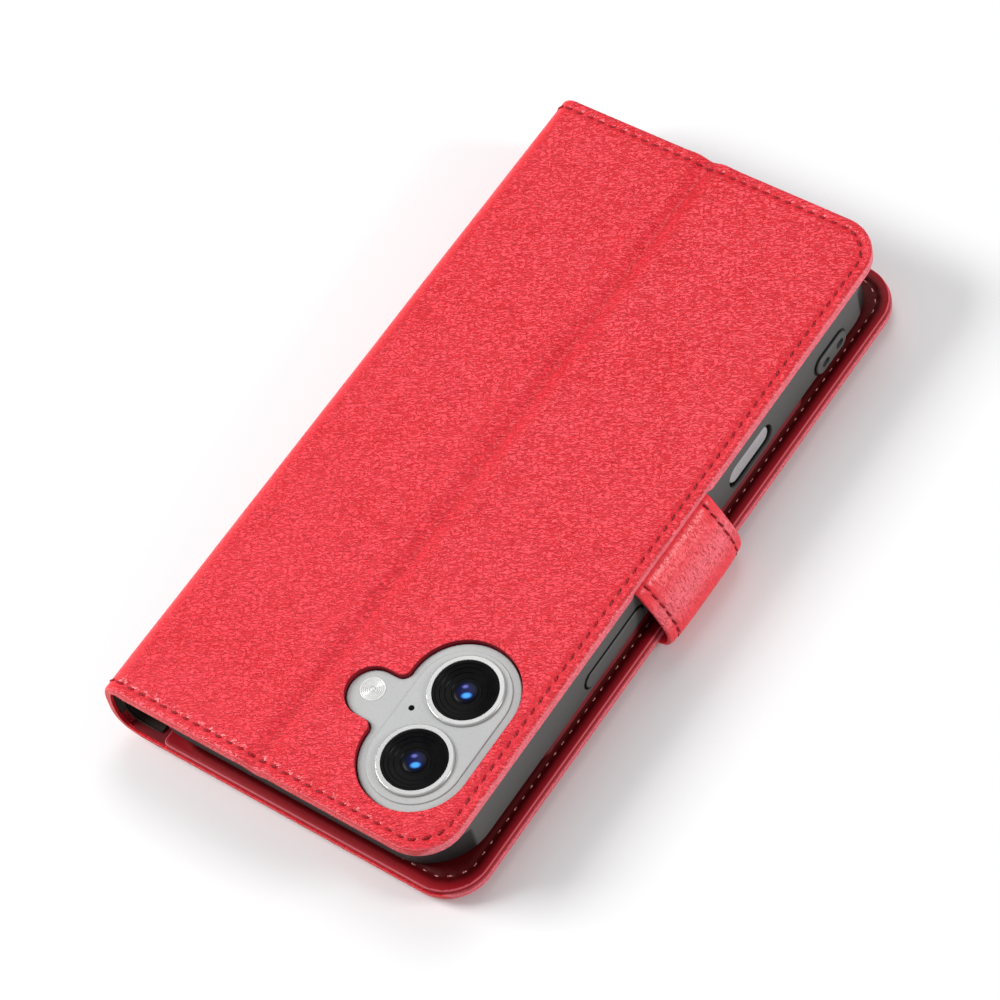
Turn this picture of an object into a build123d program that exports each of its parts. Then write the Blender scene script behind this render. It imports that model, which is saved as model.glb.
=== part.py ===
from build123d import *
import math
import os

# A phone wallet case lying closed on its front cover, with a phone inside.
# +Z up; +X towards the clasp; -X the spine; -Y the end with the cameras.
# The origin is at the centre of the outline, on the surface that the case lies on.
# Every size is in millimetres.

# Covers
SPINE_REACH = 40.4  # how far the spine and the strap stand out from the covers' centre line
STRAP_REACH = 43.95
COVER_X = (SPINE_REACH - STRAP_REACH) / 2
COVER_WIDTH = 75.3
COVER_LENGTH = 155.0
CORNER_R = 10.0
SPINE_CORNER_R = 1.5
SKIN = 0.7
EDGE = 0.05  # room between a board and the skin that is turned round it

# Heights of the layers, from the table up
TAB_THICK = 2.0
FRONT_Z0 = 2.2
FRONT_BOARD_Z = (2.9, 3.9)
FRONT_LINING_Z = (3.95, 4.35)
POCKET_Z = (4.4, 5.3)
SLOT_THICK = 0.4
SHELL_LIP_Z = 6.8
PHONE_Z = (7.6, 15.4)
SHELL_TOP_Z = 16.8
BACK_Z0 = 16.85
BACK_LINING_Z = (16.85, 17.3)
BACK_BOARD_Z = (17.35, 18.45)
BACK_Z1 = 19.2

# Phone and shell
PHONE_WIDTH = 71.6
PHONE_LENGTH = 147.6
PHONE_R = 11.0
PHONE_FIT = 0.05
SHELL_WALL = 1.35
SHELL_LIP = 1.2

# Crease, spine and folds
CREASE_X = COVER_X - 3.1
CREASE_GAP = 0.5
SPINE_Z = (6.4, 16.3)
SPINE_BULGE_R = 22.0
SPINE_OUTER_X = COVER_X - SPINE_REACH
SPINE_BULGE_Z = 10.7

# Cameras
LENS_X = COVER_X + 22.2
LENS_Y = (-45.1, -61.45)
LENS_R = 6.35
RING_R = 7.45
PILL_X = COVER_X + 22.1
PILL_Y = -53.5
PILL_R = 11.2
PILL_HALF = 7.5
LOBE_X = COVER_X + 7.3
LOBE_Y = -53.8
LOBE_R = 5.4
LOBE_FILLET = 1.6
FLASH_X = COVER_X + 6.55
FLASH_R = 2.5
ISLAND_Z = 18.3
PLATEAU_Z = 18.55
RING_Z = 19.1

# Strap
STRAP_WIDTH = 24.6
STRAP_LAYER = 0.95
STRAP_ROOT_Z = (16.9, 18.2)
STRAP_TAB_LENGTH = 27.0
STRAP_TAB_R = 6.0
BEND_R = 2.6
BEND_CENTRE = (COVER_X + STRAP_REACH - BEND_R, BEND_R)
STRAP_ARC_R = 15.0

os.makedirs("parts", exist_ok=True)

clasp_x = COVER_X + COVER_WIDTH / 2
spine_x = COVER_X - COVER_WIDTH / 2
half = COVER_LENGTH / 2
phone_side = PHONE_WIDTH / 2
phone_end = PHONE_LENGTH / 2
shell_side = phone_side + PHONE_FIT + SHELL_WALL
shell_end = phone_end + PHONE_FIT + SHELL_WALL
shell_r = PHONE_R + SHELL_WALL


def save(name, *solids):
    """Writes one named sub-part; identical loose pieces share a file."""
    shape = solids[0] if len(solids) == 1 else Compound(children=list(solids))
    export_step(shape, f"parts/{name}.step")


def slab(outline, z0, z1):
    """A flat sheet of the given outline between two heights."""
    return extrude(Pos(0, 0, z0) * outline, z1 - z0)


def box(x0, x1, y0, y1, z0, z1):
    """A box given by its faces."""
    return Pos((x0 + x1) / 2, (y0 + y1) / 2, (z0 + z1) / 2) * Box(x1 - x0, y1 - y0, z1 - z0)


def leaf(x0, x1, y_half, r_low=0.0, r_high=0.0):
    """A rectangle across the case, with its corners rounded at the low-X or the high-X end."""
    shape = Pos((x0 + x1) / 2, 0) * Rectangle(x1 - x0, 2 * y_half)
    if r_high:
        shape = fillet(shape.vertices().group_by(Axis.X)[-1], r_high)
    if r_low:
        shape = fillet(shape.vertices().group_by(Axis.X)[0], r_low)
    return shape


def round_box(half_x, half_y, r, z0, z1, x=COVER_X):
    """A box with rounded upright edges."""
    return slab(Pos(x, 0) * RectangleRounded(2 * half_x, 2 * half_y, r), z0, z1)


def camera_outline(grow=0.0):
    """The pill round the two lenses, with the flash's lobe on its spine side."""
    pill = Pos(PILL_X, PILL_Y) * SlotOverall(2 * (PILL_HALF + PILL_R), 2 * PILL_R, rotation=90)
    reach = PILL_X - LOBE_X + LOBE_R
    lobe = Pos(LOBE_X - LOBE_R + reach / 2, LOBE_Y) * SlotOverall(reach, 2 * LOBE_R)
    joined = pill + lobe
    notch = [
        v
        for v in joined.vertices()
        if abs(v.X - (PILL_X - PILL_R)) < 0.4 and abs(abs(v.Y - LOBE_Y) - LOBE_R) < 0.05
    ]
    joined = fillet(notch, LOBE_FILLET)
    return offset(joined, grow) if grow else joined


def arc_layer(centre, r0, r1, start, end, y_half):
    """A bent sheet: a ring sector in the X-Z plane, run along Y. Angles are in degrees from +X to +Z."""

    def at(r, angle):
        a = math.radians(angle)
        return (centre[0] + r * math.cos(a), centre[1] + r * math.sin(a))

    middle = (start + end) / 2
    edges = [
        ThreePointArc(at(r0, start), at(r0, middle), at(r0, end)),
        Line(at(r0, end), at(r1, end)),
        ThreePointArc(at(r1, end), at(r1, middle), at(r1, start)),
        Line(at(r1, start), at(r0, start)),
    ]
    face = make_face(Wire(edges).edges())
    solid = extrude(Plane.XZ * face, y_half, both=True)
    return solid


def soften_top(solid, z, r):
    """Rounds the edges that lie at one height."""
    return fillet([e for e in solid.edges() if abs(e.center().Z - z) < 1e-3], r)


# --- Back cover -----------------------------------------------------------------------------------


def back_cover_main():
    """The clasp-side half of the back cover, glued to the shell."""
    x0 = CREASE_X + CREASE_GAP / 2
    skin = slab(leaf(x0, clasp_x, half, r_high=CORNER_R), BACK_Z0, BACK_Z1)
    skin = fillet(
        [e for e in skin.edges() if abs(e.center().Z - BACK_Z1) < 1e-3 and e.center().X > x0 + 0.1], 0.6
    )
    inner = leaf(x0, clasp_x - SKIN, half - SKIN, r_high=CORNER_R - SKIN)
    skin -= slab(inner, BACK_Z0, BACK_BOARD_Z[1])
    strap_y = STRAP_WIDTH / 2 + 0.15
    strap_way = box(clasp_x - 12.2, clasp_x + 1, -strap_y, strap_y, BACK_Z0 - 1, STRAP_ROOT_Z[1] + EDGE)
    hole = slab(camera_outline(), BACK_Z0 - 1, BACK_Z1 + 1)
    save("back_skin_main", skin - hole - strap_way)

    fit = leaf(x0, clasp_x - SKIN - EDGE, half - SKIN - EDGE, r_high=CORNER_R - SKIN)
    board = slab(fit, BACK_BOARD_Z[0], BACK_BOARD_Z[1] - EDGE)
    save("back_board_main", board - hole - strap_way)
    lining_hole = slab(camera_outline(-0.15), BACK_Z0 - 1, BACK_Z1)
    lining = slab(fit, *BACK_LINING_Z)
    save("back_lining_main", lining - lining_hole - strap_way)


def back_cover_flap():
    """The spine-side half of the back cover. It is not glued, so it lifts off the shell at the crease."""
    x1 = CREASE_X - CREASE_GAP / 2
    x0 = spine_x
    skin = slab(leaf(x0, x1, half, r_low=SPINE_CORNER_R), BACK_Z0, BACK_Z1)
    skin = fillet(
        [e for e in skin.edges() if abs(e.center().Z - BACK_Z1) < 1e-3 and e.center().X < x1 - 0.1], 0.6
    )
    inner = leaf(x0 + SKIN, x1, half - SKIN)
    skin -= slab(inner, BACK_Z0, BACK_BOARD_Z[1])
    save("back_skin_flap", skin)
    fit = leaf(x0 + SKIN + EDGE, x1, half - SKIN - EDGE)
    save("back_board_flap", slab(fit, BACK_BOARD_Z[0], BACK_BOARD_Z[1] - EDGE))
    save("back_lining_flap", slab(fit, *BACK_LINING_Z))


# --- Spine ----------------------------------------------------------------------------------------


def spine():
    """The gently bowed strip between the two covers: skin, stiffener and lining."""
    centre = (SPINE_OUTER_X + SPINE_BULGE_R, SPINE_BULGE_Z)
    top = 180 - math.degrees(math.asin((SPINE_Z[1] - SPINE_BULGE_Z) / SPINE_BULGE_R))
    low = 180 + math.degrees(math.asin((SPINE_BULGE_Z - SPINE_Z[0]) / SPINE_BULGE_R))
    outer = SPINE_BULGE_R
    save("spine_skin", arc_layer(centre, outer - 0.6, outer, top, low, half))
    save("spine_board", arc_layer(centre, outer - 1.2, outer - 0.65, top, low, half - 1.0))
    save("spine_lining", arc_layer(centre, outer - 1.6, outer - 1.25, top, low, half - 0.5))


# --- Front cover ----------------------------------------------------------------------------------

front_x0 = COVER_X - 36.4
front_x1 = COVER_X + 40.5
pocket_x0 = COVER_X - 29.0


def front_cover():
    """Skin turned round a board, a lining, and the clasp's steel plate let into the board."""
    top = FRONT_BOARD_Z[1]
    skin = slab(leaf(front_x0, front_x1, half, r_high=CORNER_R), FRONT_Z0, top)
    skin = fillet(
        [e for e in skin.edges() if abs(e.center().Z - FRONT_Z0) < 1e-3 and e.center().X > front_x0 + 0.1],
        0.6,
    )
    inner = leaf(front_x0, front_x1 - SKIN, half - SKIN, r_high=CORNER_R - SKIN)
    save("front_skin", skin - slab(inner, FRONT_BOARD_Z[0], top))
    fit = leaf(front_x0, front_x1 - SKIN - EDGE, half - SKIN - EDGE, r_high=CORNER_R - SKIN)
    plate_x = front_x1 - 16.0
    seat = Pos(plate_x, 0, FRONT_BOARD_Z[0] + 0.4) * Cylinder(7.6, 0.8)
    save("front_board", slab(fit, FRONT_BOARD_Z[0] + EDGE, top) - seat)
    save("clasp_plate", Pos(plate_x, 0, FRONT_BOARD_Z[0] + 0.42) * Cylinder(7.5, 0.7))
    lining = leaf(front_x0 - 0.8, front_x1 - 0.4, half - 0.4, r_high=CORNER_R - 0.4)
    save("front_lining", slab(lining, *FRONT_LINING_Z))


def pocket(name, x0, x1, y_low, y_high, z0, z1, rim, wall, r_high):
    """A sheet sewn down on three sides by a low rim; its mouth is at the spine side."""
    mid_y = (y_low + y_high) / 2
    y_half = (y_high - y_low) / 2
    sheet = slab(leaf(x0, x1, y_half, r_high=r_high), z0, z1)
    hollow = leaf(x0 - 1, x1 - wall, y_half - wall, r_high=max(r_high - wall, 0.5))
    save(name, Pos(0, mid_y, 0) * (sheet - slab(hollow, z0 - 1, z0 + rim)))


def pockets():
    """The long cash pocket, and the card slots stacked on it with their mouths stepped."""
    pocket(
        "cash_pocket", pocket_x0, front_x1 - 0.2, -half + 0.2, half - 0.2, *POCKET_Z, 0.35, 3.0, CORNER_R
    )
    for i in range(3):
        z0 = POCKET_Z[1] + i * SLOT_THICK
        x0 = pocket_x0 + 5 + 6 * i
        pocket(f"card_slot_{i + 1}", x0, COVER_X + 37.0, -46, 46, z0, z0 + SLOT_THICK, 0.1, 2.5, 3.0)


# --- Phone shell ----------------------------------------------------------------------------------

# Side buttons: name, side (+1 clasp, -1 spine), middle along Y, length of the pad
BUTTONS = (
    ("power", 1, -20.8, 19.0),
    ("action", -1, -40.8, 8.5),
    ("volume_up", -1, -26.8, 11.5),
    ("volume_down", -1, -12.8, 11.5),
)
PAD_HEIGHT = 3.6
PAD_ROOM = 0.3
PAD_X = (0.45, 1.75)  # inner and outer face, outside the phone's side
KEY_DEPTH = 0.7
KEY_INNER = 0.35 - KEY_DEPTH  # the keys' inner end: the press, and 0.05 still clear of the recess's floor
BUTTON_Z = 10.3
CONTROL = (26.4, 14.9, 5.6)  # the camera-control slot's middle along Y, length and height
CONTROL_KEY = (13.4, 4.1)  # the key in that slot, nearly flush with the shell
CONTROL_KEY_OUT = 0.95
CONTROL_Z = 10.6
LUG = (54.4, 10.4, 4.2)  # the lanyard lug's middle along Y, length and height
LUG_Z = 9.2
LUG_HOLES_Y = (52.1, 57.0)
PORT_Z = 11.5


def side_slot(x0, x1, y, z, length, height):
    """A flat block with round ends, standing in a side wall: long along Y, thick along X."""
    outline = SlotOverall(length, height)
    block = extrude(Plane.YZ * outline, abs(x1 - x0))
    return Pos(min(x0, x1), y, z) * block


def end_slot(x, z, length, height, y0, y1):
    """The same in an end wall: long along X, thick along Y."""
    outline = SlotOverall(length, height)
    block = extrude(Plane.XZ * outline, -(y1 - y0))
    return Pos(x, y0, z) * block


def side_x(side, out):
    """X of a point that stands the given distance out from the phone's side."""
    return COVER_X + side * (phone_side + out)


def phone_shell():
    """The flexible tray that grips the phone: back, walls, front lip, and every cut-out."""
    shell = round_box(shell_side, shell_end, shell_r, SHELL_LIP_Z, SHELL_TOP_Z)
    shell = soften_top(shell, SHELL_TOP_Z, 1.2)
    shell = soften_top(shell, SHELL_LIP_Z, 0.6)
    fit_side = phone_side + PHONE_FIT
    fit_end = phone_end + PHONE_FIT
    shell -= round_box(fit_side, fit_end, PHONE_R, PHONE_Z[0] - PHONE_FIT, PHONE_Z[1] + PHONE_FIT)
    mouth = (phone_side - SHELL_LIP, phone_end - SHELL_LIP, PHONE_R - SHELL_LIP)
    shell -= round_box(*mouth, SHELL_LIP_Z - 1, PHONE_Z[0])
    shell -= slab(camera_outline(0.1), PHONE_Z[1], SHELL_TOP_Z + 1)
    for _, side, y, length in BUTTONS:
        room = 2 * PAD_ROOM
        x0, x1 = side_x(side, -0.5), side_x(side, 3)
        shell -= side_slot(x0, x1, y, BUTTON_Z, length + room, PAD_HEIGHT + room)
    shell -= side_slot(side_x(1, -0.5), side_x(1, 3), CONTROL[0], CONTROL_Z, CONTROL[1], CONTROL[2])
    lug = side_slot(side_x(1, 1.2), side_x(1, 2.1), LUG[0], LUG_Z, LUG[1], LUG[2])
    shell += fillet([e for e in lug.edges() if e.center().X > side_x(1, 2.0)], 0.5)
    for y in LUG_HOLES_Y:
        shell -= side_slot(side_x(1, -0.5), side_x(1, 3), y, LUG_Z, 2.4, 1.7)
    tunnel = LUG_HOLES_Y[1] - LUG_HOLES_Y[0]
    shell -= side_slot(side_x(1, -0.2), side_x(1, 0.6), sum(LUG_HOLES_Y) / 2, LUG_Z, tunnel + 2, 1.7)
    for x, length, height in ((0, 12.5, 6.4), (-19, 14, 4.0), (19, 14, 4.0)):
        shell -= end_slot(COVER_X + x, PORT_Z, length, height, phone_end - 0.5, shell_end + 1)
    save("phone_shell", shell)


def buttons():
    """Each flexible pad in the shell, with the phone's own key behind it."""
    for name, side, y, length in BUTTONS:
        pad = side_slot(side_x(side, PAD_X[0]), side_x(side, PAD_X[1]), y, BUTTON_Z, length, PAD_HEIGHT)
        outer = side_x(side, PAD_X[1])
        save(f"{name}_pad", fillet([e for e in pad.edges() if abs(e.center().X - outer) < 0.01], 0.4))
        x0, x1 = side_x(side, KEY_INNER), side_x(side, PAD_X[0])
        save(f"{name}_key", side_slot(x0, x1, y, BUTTON_Z, length - 3.2, 2.4))
    x0, x1 = side_x(1, KEY_INNER), side_x(1, CONTROL_KEY_OUT)
    key = side_slot(x0, x1, CONTROL[0], CONTROL_Z, *CONTROL_KEY)
    save("camera_control", fillet([e for e in key.edges() if abs(e.center().X - x1) < 0.01], 0.35))


# --- Phone ----------------------------------------------------------------------------------------


def phone():
    """A plain phone: a metal frame with key recesses and a port, two glasses and a core."""
    frame_z = (PHONE_Z[0] + 0.8, PHONE_Z[1] - 0.7)
    frame = round_box(phone_side, phone_end, PHONE_R, *frame_z)
    hollow = (phone_side - 2.4, phone_end - 2.4, PHONE_R - 2.4)
    frame -= round_box(*hollow, frame_z[0] - 1, frame_z[1] + 1)
    for _, side, y, length in BUTTONS:
        frame -= side_slot(side_x(side, -KEY_DEPTH), side_x(side, 1), y, BUTTON_Z, length - 2.8, 2.8)
    seat = [size + 0.4 for size in CONTROL_KEY]
    frame -= side_slot(side_x(1, -KEY_DEPTH), side_x(1, 1), CONTROL[0], CONTROL_Z, *seat)
    frame -= end_slot(COVER_X, PORT_Z, 9.0, 3.2, phone_end - 5, phone_end + 1)
    for side in (-1, 1):
        for i in range(5):
            hole = Pos(COVER_X + side * (11 + 2.6 * i), phone_end, PORT_Z) * Rot(90, 0, 0) * Cylinder(0.8, 3)
            frame -= hole
    save("phone_frame", frame)
    core = (phone_side - 2.5, phone_end - 2.5, PHONE_R - 2.5)
    core_box = round_box(*core, frame_z[0] + 0.05, frame_z[1] - 0.05)
    port = end_slot(COVER_X, PORT_Z, 9.4, 3.6, phone_end - 5.2, phone_end + 1)
    save("phone_core", core_box - port)
    back = round_box(phone_side, phone_end, PHONE_R, frame_z[1] + 0.02, PHONE_Z[1])
    save("phone_back_glass", soften_top(back, PHONE_Z[1], 0.5))
    screen = round_box(phone_side, phone_end, PHONE_R, PHONE_Z[0], frame_z[0] - 0.02)
    save("phone_screen_glass", soften_top(screen, PHONE_Z[0], 0.5))


def cameras():
    """The raised island, the pill on it, two ringed lenses, the flash and the microphone hole."""
    island = slab(camera_outline(-0.3), PHONE_Z[1] + 0.02, ISLAND_Z)
    island = soften_top(island, ISLAND_Z, 0.3)
    flash_seat = Pos(FLASH_X, LENS_Y[0] - 7.9, ISLAND_Z) * Cylinder(FLASH_R + 0.02, 1.6)
    mic = Pos(LENS_X - 6.9, LENS_Y[0] - 7.8, ISLAND_Z) * Cylinder(0.45, 2.4)
    seats = [Pos(LENS_X, y, ISLAND_Z) * Cylinder(RING_R + 0.02, 2.4) for y in LENS_Y]
    save("camera_island", island - flash_seat - mic - seats[0] - seats[1])
    plateau = Pos(PILL_X, PILL_Y) * SlotOverall(2 * (PILL_HALF + PILL_R - 1.9), 2 * (PILL_R - 1.9), rotation=90)
    plateau = soften_top(slab(plateau, ISLAND_Z + 0.02, PLATEAU_Z), PLATEAU_Z, 0.2)
    save("camera_plateau", plateau - mic - seats[0] - seats[1])
    save("flash_lens", Pos(FLASH_X, LENS_Y[0] - 7.9, ISLAND_Z - 0.3) * Cylinder(FLASH_R, 0.8))
    for name, y in zip(("upper", "lower"), LENS_Y):
        low = ISLAND_Z - 1.1
        ring = Pos(LENS_X, y, (low + RING_Z) / 2) * Cylinder(RING_R, RING_Z - low)
        ring = soften_top(ring, RING_Z, 0.35)
        bore = Pos(LENS_X, y, RING_Z) * Cylinder(LENS_R + 0.02, 2.6)
        save(f"lens_ring_{name}", ring - bore)
        glass_z = (RING_Z - 1.25, RING_Z - 0.2)
        glass = Pos(LENS_X, y, sum(glass_z) / 2) * Cylinder(LENS_R, glass_z[1] - glass_z[0])
        save(f"lens_glass_{name}", glass)


# --- Strap ----------------------------------------------------------------------------------------


def strap():
    """The strap: sewn root, upper bend, the stretch down the side, lower bend, and the tab underneath."""
    w = STRAP_WIDTH / 2
    save("strap_root", box(clasp_x - 12, clasp_x - 0.05, -w, w, *STRAP_ROOT_Z))
    root_bend = (clasp_x, STRAP_ROOT_Z[0] - 1.0)
    save("strap_root_bend", arc_layer(root_bend, 1.1, 2.0, 5, 86, w))
    cx = BEND_CENTRE[0] + BEND_R - STRAP_ARC_R
    cz = BEND_CENTRE[1] + 1.2
    top = math.degrees(math.asin((STRAP_ROOT_Z[0] - 1.6 - cz) / STRAP_ARC_R))
    r = STRAP_ARC_R
    save("strap_skin", arc_layer((cx, cz), r - STRAP_LAYER, r, 0, top, w))
    save("strap_lining", arc_layer((cx, cz), r - 2 * STRAP_LAYER, r - STRAP_LAYER - 0.02, 0, top, w - 0.3))
    layer = STRAP_LAYER
    save("strap_bend", arc_layer(BEND_CENTRE, BEND_R - 2 * layer, BEND_R, -88, -4, w))
    tab_x1 = BEND_CENTRE[0] - 0.2
    tab_x0 = tab_x1 - STRAP_TAB_LENGTH
    skin = slab(leaf(tab_x0, tab_x1, w, r_low=STRAP_TAB_R), 0, TAB_THICK / 2)
    lining = slab(leaf(tab_x0 + 0.3, tab_x1, w - 0.3, r_low=STRAP_TAB_R), TAB_THICK / 2 + 0.02, TAB_THICK)
    magnet = Pos(front_x1 - 16.0, 0, TAB_THICK / 2 - 0.1) * Cylinder(6.5, 0.9)
    seat = Pos(front_x1 - 16.0, 0, TAB_THICK / 2 - 0.1) * Cylinder(6.55, 1.0)
    save("tab_skin", skin - seat)
    save("tab_lining", lining - seat)
    save("tab_magnet", magnet)


# --- Bends of the cover ---------------------------------------------------------------------------


def cover_bends():
    """The soft leather that bends: at the crease, and at the top and bottom corners of the spine."""
    gap = CREASE_GAP / 2 - 0.02
    save("crease_bend", box(CREASE_X - gap, CREASE_X + gap, -half, half, BACK_Z1 - SKIN, BACK_Z1 - 0.05))
    centre = (spine_x + 0.35, BACK_Z1 - 2.7)
    save("spine_top_bend", arc_layer(centre, 2.0, 2.7, 102, 172, half - 0.3))
    low = (front_x0, FRONT_Z0 + 3.9)
    save("spine_low_bend", arc_layer(low, 3.3, 3.9, 190, 265, half - 0.3))


back_cover_main()
back_cover_flap()
spine()
front_cover()
pockets()
phone_shell()
buttons()
phone()
cameras()
strap()
cover_bends()
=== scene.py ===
import math

import bmesh
import bpy
import numpy as np
from mathutils import Matrix, Vector


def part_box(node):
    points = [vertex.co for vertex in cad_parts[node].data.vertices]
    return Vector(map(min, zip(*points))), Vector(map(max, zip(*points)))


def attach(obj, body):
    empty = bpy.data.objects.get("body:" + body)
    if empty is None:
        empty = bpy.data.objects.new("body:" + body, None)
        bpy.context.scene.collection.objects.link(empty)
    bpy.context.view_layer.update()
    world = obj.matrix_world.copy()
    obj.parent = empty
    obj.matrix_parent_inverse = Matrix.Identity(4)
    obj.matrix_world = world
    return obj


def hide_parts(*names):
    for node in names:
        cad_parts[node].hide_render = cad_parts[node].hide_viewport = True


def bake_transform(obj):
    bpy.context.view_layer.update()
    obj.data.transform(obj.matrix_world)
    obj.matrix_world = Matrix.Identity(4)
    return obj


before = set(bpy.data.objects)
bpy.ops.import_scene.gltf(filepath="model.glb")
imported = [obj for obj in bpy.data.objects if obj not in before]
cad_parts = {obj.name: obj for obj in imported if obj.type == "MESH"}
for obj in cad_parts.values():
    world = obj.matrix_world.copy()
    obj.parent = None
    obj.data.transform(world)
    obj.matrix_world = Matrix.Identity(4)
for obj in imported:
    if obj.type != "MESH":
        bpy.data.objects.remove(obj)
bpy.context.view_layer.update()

# A phone wallet case lying closed on its front cover. Sizes are in millimetres, and become metres
# only where a mesh is made. A sheet's own coordinates are t, its length along the case's outline
# from the back cover's clasp edge, and v, its place along Y.

MM = 0.001
X, Y, Z = 0, 1, 2


def span(node, axis):
    """Lowest and highest place of a CAD node along one axis, in millimetres."""
    low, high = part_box(node)
    return low[axis] / MM, high[axis] / MM


def middle(node, axis):
    return sum(span(node, axis)) / 2


CENTRE = middle("phone_frame", X)
BACK_TOP = span("back_skin_main", Z)[1]
BACK_EDGE = span("back_skin_main", X)[1]
FRONT_LOW = span("front_skin", Z)[0]
FRONT_EDGE = span("front_skin", X)[1]
HALF = span("back_skin_main", Y)[1]
SPINE_OUT = span("spine_skin", X)[0]
CREASE = middle("crease_bend", X)
CREASE_T = BACK_EDGE - CREASE
CORNER = 9.0
LEATHER = 0.7
ROLL = 0.5  # radius that the leather is rolled over at its edges
TURNED_WALL = 2.4
STITCH_PITCH = 2.6
STITCH_FROM_EDGE = 2.1
STITCH_FROM_END = 2.15
STITCH_CORNER = 6.6
STITCH_REACH = 0.3  # half the stretch of seam that a stitch's direction is read from
LUG = (54.4, 9.2, 10.4, 4.2)  # middle along Y and Z, length, height
SIDE_MIDDLE = 10.2  # height of the middle of the shell's openings


# --- Shader maths ---------------------------------------------------------------------------------


class Wire:
    """A shader socket that ordinary arithmetic works on."""

    def __init__(self, finish, socket):
        self.finish = finish
        self.socket = socket

    def maths(self, operation, first, second):
        return self.finish.add("ShaderNodeMath", {"operation": operation}, {0: first, 1: second})

    def __add__(self, other):
        return self.maths("ADD", self, other)

    def __sub__(self, other):
        return self.maths("SUBTRACT", self, other)

    def __rsub__(self, other):
        return self.maths("SUBTRACT", other, self)

    def __mul__(self, other):
        return self.maths("MULTIPLY", self, other)

    __radd__ = __add__
    __rmul__ = __mul__

    def __abs__(self):
        return self.maths("ABSOLUTE", self, 0)

    def above(self, other):
        return self.maths("MAXIMUM", self, other)

    def root(self):
        return self.maths("SQRT", self, 0)


class Finish:
    """A material. Its nodes are added by kind, with their settings, then their values or links."""

    def __init__(self, name):
        self.material = bpy.data.materials.new(name)
        self.material.use_nodes = True
        self.nodes = self.material.node_tree.nodes
        self.links = self.material.node_tree.links
        self.shader = self.nodes["Principled BSDF"]

    def add(self, kind, settings, sockets, out=0):
        node = self.nodes.new(kind)
        stops = settings.get("stops")
        for name, value in settings.items():
            if name != "stops":
                setattr(node, name, value)
        if stops:
            ramp = node.color_ramp
            while len(ramp.elements) < len(stops):
                ramp.elements.new(0.5)
            for element, (place, colour) in zip(ramp.elements, stops):
                element.position = place
                element.color = (*colour, 1)
        for name, value in sockets.items():
            self.plug(node.inputs[name], value)
        return Wire(self, node.outputs[out])

    def plug(self, socket, value):
        if isinstance(value, Wire):
            self.links.new(value.socket, socket)
        elif isinstance(value, tuple) and len(value) == 3 and socket.type == "RGBA":
            socket.default_value = (*value, 1)
        else:
            socket.default_value = value

    def set(self, **sockets):
        for name, value in sockets.items():
            self.plug(self.shader.inputs[name.replace("_", " ")], value)

    def coordinate(self):
        return self.add("ShaderNodeTexCoord", {}, {}, out=3)

    def split(self, vector):
        """The three numbers of a vector."""
        node = self.add("ShaderNodeSeparateXYZ", {}, {0: vector}).socket.node
        return [Wire(self, out) for out in node.outputs]

    def uv(self, layer):
        """The two numbers of one of the piece's UV maps."""
        return self.split(self.add("ShaderNodeUVMap", {"uv_map": layer}, {}))[:2]

    def vector(self, x, y):
        return self.add("ShaderNodeCombineXYZ", {}, {0: x, 1: y})

    def noise(self, vector, scale, detail=2.0, rough=0.5, distort=0.0, flat=False):
        return self.add(
            "ShaderNodeTexNoise",
            {"noise_dimensions": "2D" if flat else "3D"},
            {"Vector": vector, "Scale": scale, "Detail": detail, "Roughness": rough, "Distortion": distort},
        )

    def step(self, value, low, high, to_low=0.0, to_high=1.0):
        """A smooth step of a value between two thresholds."""
        return self.add(
            "ShaderNodeMapRange",
            {"interpolation_type": "SMOOTHSTEP"},
            {"Value": value, "From Min": low, "From Max": high, "To Min": to_low, "To Max": to_high},
        )

    def mix(self, factor, first, second):
        return self.add("ShaderNodeMix", {"data_type": "RGBA"}, {0: factor, 6: first, 7: second}, out=2)

    def bump(self, height, strength, distance):
        return self.add(
            "ShaderNodeBump", {}, {"Height": height, "Strength": strength, "Distance": distance}
        )


# --- Leather finishes -----------------------------------------------------------------------------

RED = (0.73, 0.003, 0.013)
RED_DEEP = (0.46, 0.003, 0.010)
# The crevice and ridge reds are partly the grain's own tone, partly painted shade in the crevices and a
# painted highlight on the ridges.
RED_CREVICE_SHADE = (0.58, 0.003, 0.012)
RED_RIDGE_HIGHLIGHT = (0.82, 0.048, 0.074)
RED_PALE = (0.90, 0.075, 0.110)
RED_SMOOTH = (0.82, 0.010, 0.020)
# The next pale pink is used only for painted highlights.
RED_HIGHLIGHT = (1.0, 0.22, 0.27)
RED_WALL = (0.78, 0.005, 0.016)
RED_STRAP = (0.88, 0.022, 0.040)
THREAD = (0.44, 0.005, 0.015)
THREAD_DARK = (0.12, 0.002, 0.005)
LINING_LOW, LINING_HIGH = (0.020, 0.012, 0.009), (0.055, 0.034, 0.026)
FINE_GRAIN = 2600
GRAIN_ANGLE = math.radians(31)


def grain(f, u, v):
    """Wavy ripples, longer than wide, that all lean one way across the sheet, and a few long cracks."""
    c, s = math.cos(GRAIN_ANGLE), math.sin(GRAIN_ANGLE)
    run = v * s - u * c
    across = u * s + v * c
    ripple = f.noise(f.vector(run * 0.42, across), 1.85, detail=1.0, distort=0.5, flat=True)
    pebble = f.noise(f.vector(run * 0.7, across), 3.2, detail=1.0, distort=0.3, flat=True)
    wrinkle = f.noise(f.vector(run * 0.06, across * 0.55), 1.0, distort=0.5, flat=True)
    height = f.step(abs(ripple - 0.5), 0.0, 0.10) * 0.66 + pebble * 0.34
    crack = 1 - f.step(abs(wrinkle - 0.5), 0.0, 0.012)
    return height, crack


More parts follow.
